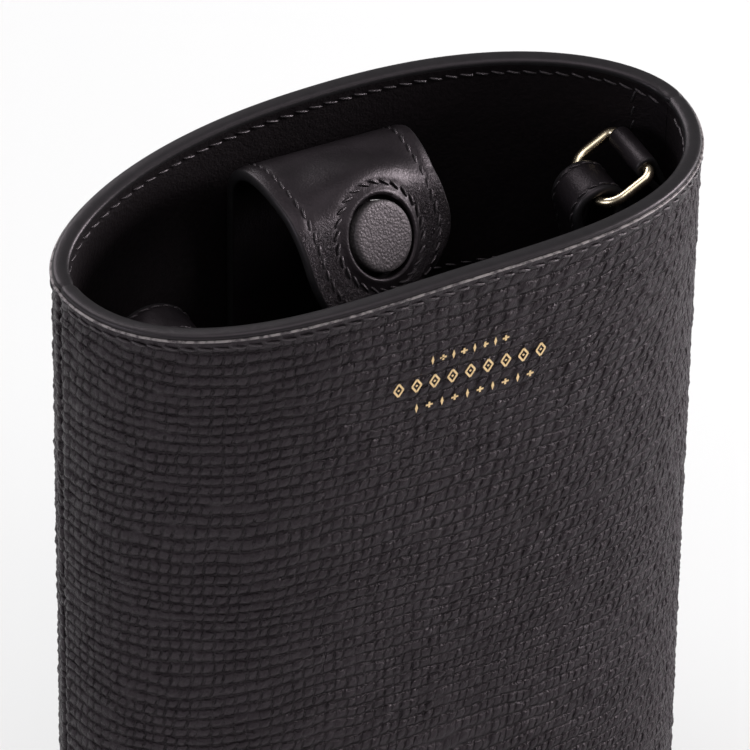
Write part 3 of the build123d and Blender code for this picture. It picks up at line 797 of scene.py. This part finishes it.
def sweep_rim(name, side, profile, materials, notch):
    """A section of the rim swept along one half of the mouth."""
    turn, along = even_turns(side, 330)
    profile = np.array(profile)
    seam = np.minimum(along, along[-1] - along)
    shrink = 1.0 - notch * ridge(seam, 0.7)
    centre = profile.mean(axis=0)
    inset = centre[0] + (profile[None, :, 0] - centre[0]) * shrink[:, None]
    rise = centre[1] + (profile[None, :, 1] - centre[1]) * shrink[:, None]
    x = wall(side, MOUTH_TOP, turn, 0.0)[:, 0]
    points = wall(side, rim_height(side, x)[:, None] + rise, turn[:, None], inset)
    cols = len(profile)
    faces = grid_faces(len(turn), cols, 0, closed=True)
    faces += end_faces(len(turn), cols)
    if side == BACK:
        faces = [face[::-1] for face in faces]
    return add_piece(name, points.reshape(-1, 3), faces, materials, 50.0)


def make_rim(side):
    """The painted edge, and the cut edge of the outer leather that shows as a fine line under it."""
    rim = sweep_rim(f"{NAMES[side]}_rim_bead", side, RIM_PROFILE, [edge_paint], RIM_NOTCH)
    dress(rim, "edge_paint", "case", f"{NAMES[side]}_rim_edge")
    lip = sweep_rim(f"{NAMES[side]}_leather_lip", side, LIP_PROFILE, [edge_lip], LIP_NOTCH)
    dress(lip, "edge_paint", "case")


def sew_mouth(side):
    """The row of stitches under the rim, outside and inside."""
    turn, along = even_turns(side, 600)
    keep = (along > MOUTH_ROW_STOP) & (along < along[-1] - MOUTH_ROW_STOP)
    turn = turn[keep]
    x = wall(side, MOUTH_TOP, turn, 0.0)[:, 0]
    z = rim_height(side, x) - EDGE_STITCH
    for label, inset, sink, seed in (("outer", 0.0, OUTER_THREAD_SINK, 3),
                                     ("inner", FACING_OUT, THREAD_SINK, 4)):
        line = wall(side, z, turn, inset)
        higher = wall(side, z + 0.5, turn, inset)
        out = unit(np.cross(np.gradient(line, axis=0), higher - line) * -side)
        if label == "inner":
            out = -out
        sew(f"{NAMES[side]}_{label}_mouth_stitches", line - out * sink, out, "case", seed=seed + side)


def sew_facing():
    """The row along the back facing's lower edge, and the short row that ties it beside the right seam."""
    turn, along = even_turns(BACK, 400)
    keep = (along > LOWER_ROW_STOP) & (along < along[-1] - LOWER_ROW_STOP)
    turn = turn[keep]
    row = wall(BACK, FACING_BOTTOM + EDGE_STITCH, turn, FACING_OUT)
    higher = wall(BACK, FACING_BOTTOM + EDGE_STITCH + 0.5, turn, FACING_OUT)
    inward = unit(np.cross(np.gradient(row, axis=0), higher - row))
    sew("facing_lower_stitches", row - THREAD_SINK * inward, inward, "case", seed=21)
    z = np.linspace(*TIE_Z, 40)
    column = wall(BACK, z, TIE_TURN, FACING_OUT)
    beside = wall(BACK, z, TIE_TURN + 0.01, FACING_OUT)
    inward = unit(np.cross(beside - column, np.gradient(column, axis=0)))
    sew("facing_side_stitches", column - THREAD_SINK * inward, inward, "case", seed=22)


# ---- base
def make_base():
    """The leather oval that the case stands on, and the suede oval inside."""
    for name, inset, (low, high), node, slot_name, material in (
            ("base_outer_leather", OUTER_LEATHER + BASE_CLEARANCE, BASE_LEATHER_Z,
             "base_leather", "outer_leather", base_leather),
            ("base_suede", LINING_IN + SUEDE_CLEARANCE, BASE_SUEDE_Z, "base_lining", "lining_suede", suede)):
        front = wall(FRONT, FOOT_LIFT, even_turns(FRONT, 150)[0], inset)
        back = wall(BACK, FOOT_LIFT, even_turns(BACK, 150)[0], inset)[::-1]
        ring = np.concatenate([front[:-1], back[:-1]])[:, :2]
        shares = np.concatenate([np.linspace(0.0, 0.9, 60)[1:], np.linspace(0.9, 1.0, 12)[1:]])
        flat = shares[:, None, None] * ring[None, :, :]
        reach = np.linalg.norm(ring, axis=1)[None, :] * (1.0 - shares[:, None])
        grain, _ = cross_grain(flat[..., 0], flat[..., 1], 91)
        edge = 0.5 * np.clip(1.0 - reach / 0.8, 0.0, 1.0) ** 2
        under = low + edge + 0.16 * np.clip(0.45 - grain, 0.0, 1.0) * smooth(reach / 1.5)
        over = high - edge
        rows, cols = len(shares), len(ring)
        top = np.concatenate([flat, over[..., None]], axis=2).reshape(-1, 3)
        bottom = np.concatenate([flat, under[..., None]], axis=2).reshape(-1, 3)
        points = np.concatenate([bottom, top, [[0.0, 0.0, low], [0.0, 0.0, high]]])
        first, hub = rows * cols, 2 * rows * cols
        faces = grid_faces(rows, cols, 0, closed=True)
        faces += [quad[::-1] for quad in grid_faces(rows, cols, first, closed=True)]
        last = (rows - 1) * cols
        faces += [[last + i, last + (i + 1) % cols, first + last + (i + 1) % cols, first + last + i]
                  for i in range(cols)]
        faces += [[hub, (i + 1) % cols, i] for i in range(cols)]
        faces += [[hub + 1, first + i, first + (i + 1) % cols] for i in range(cols)]
        piece = add_piece(name, points, [face[::-1] for face in faces], [material], 50.0)
        dress(piece, slot_name, "case", node)


# ---- closing tab
def tab_tables():
    """Points, across, along and inward directions of the tab's outer face, at even lengths from its foot."""
    step = 0.1
    s = np.arange(0.0, TAB_RISE + 60.0, step)
    arch = s - TAB_RISE
    crest = TAB_CREST_R * TAB_CREST_TURN
    tilt = np.where(arch < crest, np.clip(arch, 0.0, None) / TAB_CREST_R,
                    TAB_CREST_TURN + (arch - crest) / TAB_BROW_R)
    share = np.clip(arch / TAB_TWIST_RUN, 0.0, 1.0)
    yaw, roll = TAB_YAW * share, TAB_ROLL * share
    along = np.stack([np.sin(tilt) * np.sin(yaw), -np.sin(tilt) * np.cos(yaw), np.cos(tilt)], axis=1)
    start = np.array([TAB_START[0], TAB_START[1], TAB_FOOT_Z])
    line = start + np.concatenate([[[0.0, 0.0, 0.0]], np.cumsum(along[:-1] * step, axis=0)])
    level = np.stack([np.cos(yaw), np.sin(yaw), 0.0 * yaw], axis=1)
    inner = np.cross(level, along)
    across = level * np.cos(roll)[:, None] + inner * np.sin(roll)[:, None]
    return s, np.concatenate([line, across, along, np.cross(across, along)], axis=1)


def tab_frame(s):
    """Point, across, along and inward directions at lengths s."""
    run, table = TAB_TABLE
    rows = np.stack([np.interp(s, run, table[:, k]) for k in range(12)], axis=-1)
    return rows[..., 0:3], unit(rows[..., 3:6]), unit(rows[..., 6:9]), unit(rows[..., 9:12])


def tab_point(s, w, depth):
    """Point of the tab at length s and width w, at a depth under its face, which is flat at the magnet."""
    s, w, depth = np.broadcast_arrays(np.asarray(s, float), w, depth)
    line, across, _, inward = tab_frame(s)
    curved = line + across * w[..., None] + inward * depth[..., None]
    centre, flat_across, flat_along, flat_in = tab_frame(np.array(TAB_DISC_S))
    level = (centre + flat_across * w[..., None] + flat_along * (s - TAB_DISC_S)[..., None]
             + flat_in * (depth + TAB_SINK)[..., None])
    rho = np.hypot(s - TAB_DISC_S, w)
    share = (1.0 - smooth((rho - FLAT_R) / FLAT_FADE))[..., None]
    return curved * (1.0 - share) + level * share


def tab_normal(s, w):
    """Outward normal of the tab's face."""
    ahead = tab_point(s + 0.2, w, 0.0) - tab_point(s - 0.2, w, 0.0)
    beside = tab_point(s, w + 0.2, 0.0) - tab_point(s, w - 0.2, 0.0)
    return unit(np.cross(ahead, beside))


def tab_wear(s, w):
    """Share of grain in the tab's face: none over the crest, patches beside and below the magnet."""
    rho = np.hypot(s - TAB_DISC_S, w)
    near = smooth((s - TAB_RISE - 25.0) / 9.0) * smooth((rho - 9.6) / 2.0)
    return near * smooth(0.62 + 0.9 * noise(s / 9.0 + 3.0, w / 9.0, 31))


def tab_relief(s, w):
    """Height of the tab's face: furrows of the stitches, the collar round the magnet, and creases near it."""
    q = s - TAB_DISC_S
    rho, turn = np.hypot(q, w), np.arctan2(q, w)
    edge = TAB_HALF - np.where(q > 0, rho, np.abs(w))
    collar = 0.42 * ridge(rho - WINDOW_LIP_R, 0.50) + 0.28 * (1.0 - smooth((rho - 8.4) / 2.4))
    ring = -0.30 * ridge(rho - WINDOW_STITCH_R, 0.5) * (0.775 + 0.225 * np.cos(21.0 * turn))
    seam = -0.26 * ridge(edge - TAB_EDGE_STITCH, 0.55) * (0.55 + 0.45 * beat(s))
    fall = -0.30 * (1.0 - smooth(edge / 1.3))
    a, b = 0.80 * w + 0.60 * q, 0.80 * q - 0.60 * w
    crease = (1.0 - np.abs(noise(b / 0.85, a / 2.2, 32))) + 0.7 * (1.0 - np.abs(noise(a / 1.2, b / 1.9, 33)))
    creases = 0.07 * tab_wear(s, w) * (crease - 1.3)
    soft = 0.06 * noise(s / 6.0, w / 7.0, 34)
    return collar + ring + seam + fall + creases + soft


def make_tab():
    """The closing tab: two layers glued and edge painted, with the window for the magnet."""
    corner = 36             # steps along half a side of the magnet's square
    turns_end = np.linspace(0.0, pi, 141)[:-1]
    left_side = pi + np.arctan(np.linspace(0.0, 1.0, corner + 1)[:-1])
    top_w = np.linspace(-TAB_HALF, TAB_HALF, 77)
    top_edge = np.arctan2(-TAB_HALF, top_w[:-1]) + 2 * pi
    right_side = 2 * pi - np.arctan(np.linspace(1.0, 0.0, corner + 1)[:-1])
    turn = np.concatenate([turns_end, left_side, top_edge, right_side])
    c, s = np.cos(turn), np.sin(turn)
    reach = np.where(turn <= pi, TAB_HALF, TAB_HALF / np.maximum(np.abs(c), np.abs(s)))
    shares = np.linspace(0.0, 1.0, 24)[:, None]
    points, faces, indices, worn = [], [], [], []

    def add_patch(run, side, depth, material, flip=False, closed=False):
        """Adds a grid of the tab's points to the mesh."""
        rows, cols = run.shape
        first = sum(len(p) for p in points)
        points.append(tab_point(run, side, depth).reshape(-1, 3))
        worn.append(tab_wear(run, side).ravel())
        made = grid_faces(rows, cols, first, closed)
        faces.extend([quad[::-1] for quad in made] if flip else made)
        indices.extend([material] * len(made))

    def back_depth(run, side):
        """Depth of the back layer's face, which bulges a little behind the magnet."""
        rho = np.hypot(run - TAB_DISC_S, side)
        return TAB_THICK + 0.35 * (1.0 - smooth((rho - 6.5) / 3.0))

    radius = WINDOW_R + (reach[None, :] - WINDOW_R) * shares
    ring_s, ring_w = TAB_DISC_S + radius * s[None, :], radius * c[None, :]
    add_patch(ring_s, ring_w, -tab_relief(ring_s, ring_w), 0, False, True)
    add_patch(ring_s, ring_w, back_depth(ring_s, ring_w), 0, True, True)
    # window wall and floor
    wall_depth = np.linspace(0.0, 1.0, 5)[:, None]
    hole_s = TAB_DISC_S + WINDOW_R * s[None, :] + 0.0 * wall_depth
    hole_w = WINDOW_R * c[None, :] + 0.0 * wall_depth
    hole_depth = -tab_relief(hole_s, hole_w) * (1 - wall_depth) + WINDOW_DEPTH * wall_depth
    add_patch(hole_s, hole_w, hole_depth, 2, True, True)
    disc = WINDOW_R * np.linspace(0.0, 1.0, 12)[:, None]
    disc_s, disc_w = TAB_DISC_S + disc * s[None, :], disc * c[None, :]
    add_patch(disc_s, disc_w, WINDOW_DEPTH + 0.0 * disc_s, 2, False, True)
    add_patch(disc_s, disc_w, back_depth(disc_s, disc_w), 0, True, True)
    # strip from the magnet's square up to the stitched foot
    strip_s = np.linspace(0.0, TAB_DISC_S - TAB_HALF, 112)[:, None] + 0.0 * top_w[None, :]
    strip_w = top_w[None, :] + 0.0 * strip_s
    add_patch(strip_s, strip_w, -tab_relief(strip_s, strip_w), 0, True)
    add_patch(strip_s, strip_w, back_depth(strip_s, strip_w), 0, False)
    # painted edge all round
    end_s, end_w = ring_s[-1], ring_w[-1]
    sides = len(turns_end)
    loop_s = np.concatenate([end_s[:sides + corner], strip_s[::-1, 0], strip_s[0], strip_s[:, -1],
                             end_s[-corner:], end_s[:1]])
    loop_w = np.concatenate([end_w[:sides + corner], strip_w[::-1, 0], strip_w[0], strip_w[:, -1],
                             end_w[-corner:], end_w[:1]])
    rounded = loop_s > TAB_DISC_S
    out_s = np.where(rounded, (loop_s - TAB_DISC_S) / TAB_HALF, np.where(loop_s < 1e-6, -1.0, 0.0))
    out_w = np.where(rounded, loop_w / TAB_HALF, np.sign(loop_w) * (np.abs(loop_w) > TAB_HALF - 1e-6))
    bow = np.linspace(0.0, pi, 8)[:, None]
    top_depth = -tab_relief(loop_s, loop_w)[None, :]
    low_depth = back_depth(loop_s, loop_w)[None, :]
    depth = top_depth + (low_depth - top_depth) * (0.5 - 0.5 * np.cos(bow))
    add_patch(loop_s[None, :] + 0.5 * np.sin(bow) * out_s[None, :],
              loop_w[None, :] + 0.5 * np.sin(bow) * out_w[None, :], depth, 1, True)

    materials = [smooth_leather, tab_edge, suede]
    piece = add_piece("closing_tab", np.concatenate(points), faces, materials, 180.0, indices)
    add_value(piece, "worn", np.concatenate(worn))
    weld(piece)
    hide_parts("tab_riser_face", "tab_riser_back", "tab_flap_face", "tab_flap_back")
    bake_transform(piece)


def weld(piece):
    """Joins the patches of a mesh where their borders meet."""
    made = bmesh.new()
    made.from_mesh(piece.data)
    bmesh.ops.remove_doubles(made, verts=made.verts, dist=2e-6)
    bmesh.ops.recalc_face_normals(made, faces=made.faces)
    made.to_mesh(piece.data)
    made.free()
    piece.data.shade_smooth()
    piece.data.set_sharp_from_angle(angle=radians(65.0))


def sew_tab():
    """Stitches along the tab's edge and round the magnet."""
    inner = TAB_HALF - TAB_EDGE_STITCH
    rise = np.arange(TAB_STITCH_START, TAB_DISC_S, 0.5)
    turn = np.linspace(pi, 0.0, 90)
    s = np.concatenate([rise, TAB_DISC_S + inner * np.sin(turn), rise[::-1]])
    w = np.concatenate([0.0 * rise - inner, inner * np.cos(turn), 0.0 * rise + inner])
    line = tab_point(s, w, 0.17 - tab_relief(s, w) * 0.3)
    edge = sew("tab_edge_stitches", line, tab_normal(s, w), None, TAB_EDGE_PITCH, 0.34, seed=7)
    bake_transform(edge)
    turn = np.linspace(0.0, 2.0 * pi, 200)
    s, w = TAB_DISC_S + WINDOW_STITCH_R * np.sin(turn), WINDOW_STITCH_R * np.cos(turn)
    line = tab_point(s, w, 0.0)
    sew("magnet_ring_stitches", line, tab_normal(s, w), "tab_flap", TAB_RING_PITCH, 0.42, seed=8)


def make_cap():
    """The leather-covered magnet, domed a little, in its window."""
    profile = [(CAP_R - 0.05, -1.15), (CAP_R, 0.0), (CAP_R + 0.02, CAP_TOP - 0.75),
               (CAP_R - 0.06, CAP_TOP - 0.42), (CAP_R - 0.24, CAP_TOP - 0.19), (CAP_R - 0.55, CAP_TOP - 0.06)]
    crown = np.linspace(CAP_R - 0.95, 0.35, 22)
    profile += [(r, CAP_TOP + CAP_CROWN * (1.0 - (r / CAP_R) ** 2)) for r in crown]
    around = turns_round(160)
    profile = np.array(profile)
    s, w = TAB_DISC_S + profile[:, :1] * np.sin(around), profile[:, :1] * np.cos(around)
    grain = 0.022 * (np.abs(noise(s / 0.40, w / 0.40, 41)) + np.abs(noise(s / 0.7 + 7, w / 0.7, 42)) - 0.6)
    height = profile[:, 1:] + grain * smooth((CAP_R - 0.2 - profile[:, :1]) / 0.8)
    points = tab_point(s, w, -height)
    rows, cols = s.shape
    faces = grid_faces(rows, cols, 0, closed=True)
    faces += end_faces(rows, cols)
    piece = add_piece("magnet_cap", points.reshape(-1, 3), faces, [cap_leather], 60.0)
    weld(piece)
    dress(piece, "cap_leather", "tab_flap", "tab_magnet_cap")


# ---- chapes, rings and strap
def make_ring(end):
    """A D-ring of round wire, lying as the CAD ring does."""
    drop = radians(RING_DROP[end])
    reach = np.array([-end * cos(drop), 0.0, -sin(drop)])
    roll = np.array([ROLL_X[end], 0.0, ROLL_Z[end]])
    wide = np.array([0.0, 1.0, 0.0])
    corners = [(0.0, -RING_HALF, RING_HEEL_R, 180.0), (RING_REACH, -RING_HALF, RING_BOW_R, 270.0),
               (RING_REACH, RING_HALF, RING_BOW_R, 0.0), (0.0, RING_HALF, RING_HEEL_R, 90.0)]
    flat = []
    for a, b, r, start in corners:
        centre = (a + (r if a == 0.0 else -r), b + (r if b < 0 else -r))
        for turn in np.radians(np.linspace(start, start + 90.0, 14)):
            flat.append((centre[0] + r * cos(turn), centre[1] + r * sin(turn)))
    flat = np.array(flat + flat[:1])
    flat = at_lengths(flat, np.linspace(0.0, lengths_along(flat)[-1], 141)[:-1])
    line = roll + flat[:, :1] * reach + flat[:, 1:] * wide
    piece = round_tube(f"{SIDES[end]}_gold_ring", line, np.cross(reach, wide), WIRE_R, gold)
    dress(piece, "ring_gold", f"{SIDES[end]}_ring", f"{SIDES[end]}_d_ring")


def make_chape(end):
    """The leather roll that holds the ring's bar, and its tail on the wall."""
    radius = WIRE_R + ROLL_GAP + CHAPE_LEATHER / 2
    neck = (end * CHAPE_WALL_X, ROLL_Z[end] - CHAPE_NECK)
    line = loop_line((ROLL_X[end], ROLL_Z[end]), radius, neck, CHAPE_LEATHER / 2 + LEG_GAP, CHAPE_TAIL)
    piece = band(f"{SIDES[end]}_chape_leather", line, CHAPE_HALF, CHAPE_LEATHER, smooth_leather, tab_edge)
    dress(piece, "smooth_leather", "case", f"{SIDES[end]}_ring_chape")


def band_stitches(name, line, half, thick, body, seed):
    """Stitches near both edges of a band, on its outer face."""
    along = unit(np.gradient(line, axis=0))
    normal = unit(np.cross(np.array([0.0, 1.0, 0.0]), along))
    made = []
    for k, place in enumerate((-half + STRAP_EDGE_STITCH, half - STRAP_EDGE_STITCH)):
        row = line + np.array([0.0, place, 0.0]) + normal * (0.5 * thick - 0.07)
        label = f"{name}_{'near' if k == 0 else 'far'}"
        made.append(sew(label, row, normal, body, STRAP_PITCH, 0.18, STRAP_THREAD_R, seed + k))
    return made


def make_strap():
    """The strap ends, looped on the rings, and the strap between them, which lies in the case."""
    ends = []
    for end in (RIGHT, LEFT):
        neck = (LOOP_X[end], LOOP_Z[end] - LOOP_NECK[end])
        line = loop_line((LOOP_X[end], LOOP_Z[end]), LOOP_R[end] - STRAP_T / 2, neck,
                         STRAP_T / 2 + LEG_GAP, STRAP_DOUBLED)
        piece = band(f"{SIDES[end]}_strap_loop", line, STRAP_HALF, STRAP_T, smooth_leather, tab_edge,
                     furrow=STRAP_EDGE_STITCH)
        dress(piece, "smooth_leather", "strap", f"{SIDES[end]}_strap_end")
        ends.append(piece)
        ends += band_stitches(f"{SIDES[end]}_loop_stitches", line, STRAP_HALF, STRAP_T, "strap", 50 + 4 * end)
    exit_point = (LOOP_X[RIGHT], LOOP_Z[RIGHT] - LOOP_NECK[RIGHT] - STRAP_DOUBLED - STRAP_GAP)
    far_point = (LOOP_X[LEFT], LOOP_Z[LEFT] - LOOP_NECK[LEFT] - STRAP_DOUBLED - STRAP_GAP)
    route = [exit_point] + STRAP_ROUTE + [far_point]
    line = spline_points([(x, 0.0, z) for x, z in route])
    piece = band("leather_strap", line, STRAP_HALF, STRAP_T, smooth_leather, tab_edge,
                 furrow=STRAP_EDGE_STITCH)
    dress(piece, "smooth_leather", "strap", "carry_strap")
    ends += band_stitches("strap_stitches", line, STRAP_HALF, STRAP_T, "strap", 71)


def spline_points(route):
    """Points along the smooth line that a route's points control."""
    curve = bpy.data.curves.new("route", "CURVE")
    curve.dimensions = "3D"
    curve.resolution_u = 24
    spline = curve.splines.new("NURBS")
    spline.points.add(len(route) - 1)
    for point, place in zip(spline.points, route):
        point.co = (*[k * MM for k in place], 1.0)
    spline.order_u = 3
    spline.use_endpoint_u = True
    holder = bpy.data.objects.new("route", curve)
    bpy.context.scene.collection.objects.link(holder)
    bpy.context.view_layer.update()
    mesh = bpy.data.meshes.new_from_object(holder.evaluated_get(bpy.context.evaluated_depsgraph_get()))
    points = np.array([tuple(vertex.co) for vertex in mesh.vertices]) / MM
    bpy.data.objects.remove(holder)
    bpy.data.meshes.remove(mesh)
    return at_lengths(points, np.linspace(0.0, lengths_along(points)[-1], 260))


# ---- foil ornament
def foil_line(one, two):
    """Outline of a drawn line between two points."""
    run = (two - one) / np.linalg.norm(two - one)
    side = np.array([-run[1], run[0]]) * FOIL_LINE
    return [one - side, two - side, two + side, one + side]


def foil_marks():
    """Outlines (x, z) of the ornament: open lozenges in one row, slim ones and crosses in the others."""
    marks = []
    for left, right, start, stop, count, half in FOIL_ROWS:
        for i in range(count):
            share = i / (count - 1)
            middle = np.array([left + (right - left) * share, start + (stop - start) * share])
            wide, tall = np.array([0.62 * half, 0.0]), np.array([0.0, half])
            if half > FOIL_TALL:
                corners = [middle - wide, middle - tall, middle + wide, middle + tall]
                marks += [foil_line(one, two) for one, two in zip(corners, corners[1:] + corners[:1])]
                dot = (-0.3 * wide, -0.2 * tall, 0.3 * wide, 0.2 * tall)
                marks.append([middle + corner for corner in dot])
            elif i % 2 == 0:
                marks.append([middle - 0.45 * wide, middle - tall, middle + 0.45 * wide, middle + tall])
            else:
                marks.append(foil_line(middle - wide, middle + wide))
                marks.append(foil_line(middle - 0.6 * tall, middle + 0.6 * tall))
    return marks


def on_front(x, z, lift):
    """Point of the front wall at x and z, lifted off it."""
    turn = np.arccos(np.clip(-x / half_length(z), -1.0, 1.0))
    return wall(FRONT, z, turn, -lift)


def make_foil():
    """The gold foil marks, pressed into the front panel."""
    points, faces = [], []
    for mark in foil_marks():
        mark = np.array(mark)
        first = len(points)
        for lift in FOIL_LIFTS:
            points += [tuple(p) for p in on_front(mark[:, 0], mark[:, 1], lift)]
        faces += [[first + 4, first + 5, first + 6, first + 7], [first + 3, first + 2, first + 1, first]]
        faces += [[first + i, first + (i + 1) % 4, first + 4 + (i + 1) % 4, first + 4 + i] for i in range(4)]
    piece = add_piece("foil_ornament", points, faces, [foil], 30.0)
    dress(piece, "gold_foil", "case")


# ---- stage
def make_stage():
    """Pale floor, soft light from all round and the lamps. Lengths are in metres."""
    mesh = bpy.data.meshes.new("floor")
    reach, level = 6.0, -0.0004
    corners = [(x * reach, y * reach, level) for x, y in ((-1, -1), (1, -1), (1, 1), (-1, 1))]
    mesh.from_pydata(corners, [], [(0, 1, 2, 3)])
    mesh.materials.append(make_floor_paper())
    floor = bpy.data.objects.new("floor", mesh)
    bpy.context.scene.collection.objects.link(floor)
    world = bpy.data.worlds.new("studio")
    world.use_nodes = True
    world.node_tree.nodes["Background"].inputs["Color"].default_value = (1.0, 1.0, 1.0, 1.0)
    world.node_tree.nodes["Background"].inputs["Strength"].default_value = WORLD_LIGHT
    bpy.context.scene.world = world
    for name, place, aim, size, power, color in LAMPS:
        data = bpy.data.lights.new(name, "AREA")
        data.size = size
        data.energy = power
        data.color = color
        lamp = bpy.data.objects.new(name, data)
        lamp.location = place
        lamp.rotation_mode = "QUATERNION"
        lamp.rotation_quaternion = (Vector(aim) - Vector(place)).to_track_quat("-Z", "Y")
        bpy.context.scene.collection.objects.link(lamp)
    bpy.context.scene.view_settings.view_transform = "Standard"


TAB_TABLE = tab_tables()

outer_leather = make_outer_leather()
smooth_leather = make_smooth_leather()
facing_leather = make_facing_leather()
suede = make_suede()
edge_paint = make_edge_paint("edge_paint", 0.013, 0.40)
edge_lip = make_lip()
tab_edge = make_edge_paint("strip_edge_paint", 0.012, 0.42)
cap_leather = make_cap_leather()
thread = make_fibrous("thread", (0.014, 0.0125, 0.014), 0.32, (0.16, 2.0, 0.5), (0.35, 0.65),
                      (0.005, 0.0045, 0.005), (0.032, 0.029, 0.031), 0.10)
gold = make_metal("ring_gold", (0.93, 0.78, 0.56), 0.22, 0.08)
foil = make_metal("gold_foil", (0.90, 0.66, 0.36), 0.30, 0.15)
base_leather = make_smooth_leather()

make_camera()
make_stage()
make_walls()
sew_facing()
make_base()
make_tab()
sew_tab()
make_cap()
for end in (RIGHT, LEFT):
    make_ring(end)
    make_chape(end)
make_strap()
make_foil()

board = make_fibrous("stiffener_board", (0.35, 0.30, 0.24), 0.85, (0.8, 4.0, 0.7, (1.0, 1.0, 3.0)),
                     (0.3, 0.7), (0.29, 0.25, 0.20), (0.42, 0.37, 0.30), 0.08)
tape = make_fibrous("seam_tape", (0.05, 0.05, 0.05), 0.8, (0.35, 1.0, 0.4, (1.0, 1.0, 0.4)),
                    (0.35, 0.65), (0.035, 0.035, 0.035), (0.070, 0.070, 0.072), 0.10)
nickel = make_metal("magnet_nickel", (0.62, 0.61, 0.60), 0.28, 0.12)
for node, material in (("front_stiffener", board), ("back_stiffener", board), ("base_board", board),
                       ("left_seam_tape", tape), ("right_seam_tape", tape),
                       ("front_magnet", nickel), ("tab_magnet", nickel)):
    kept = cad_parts[node]
    kept.data.materials.clear()
    kept.data.materials.append(material)
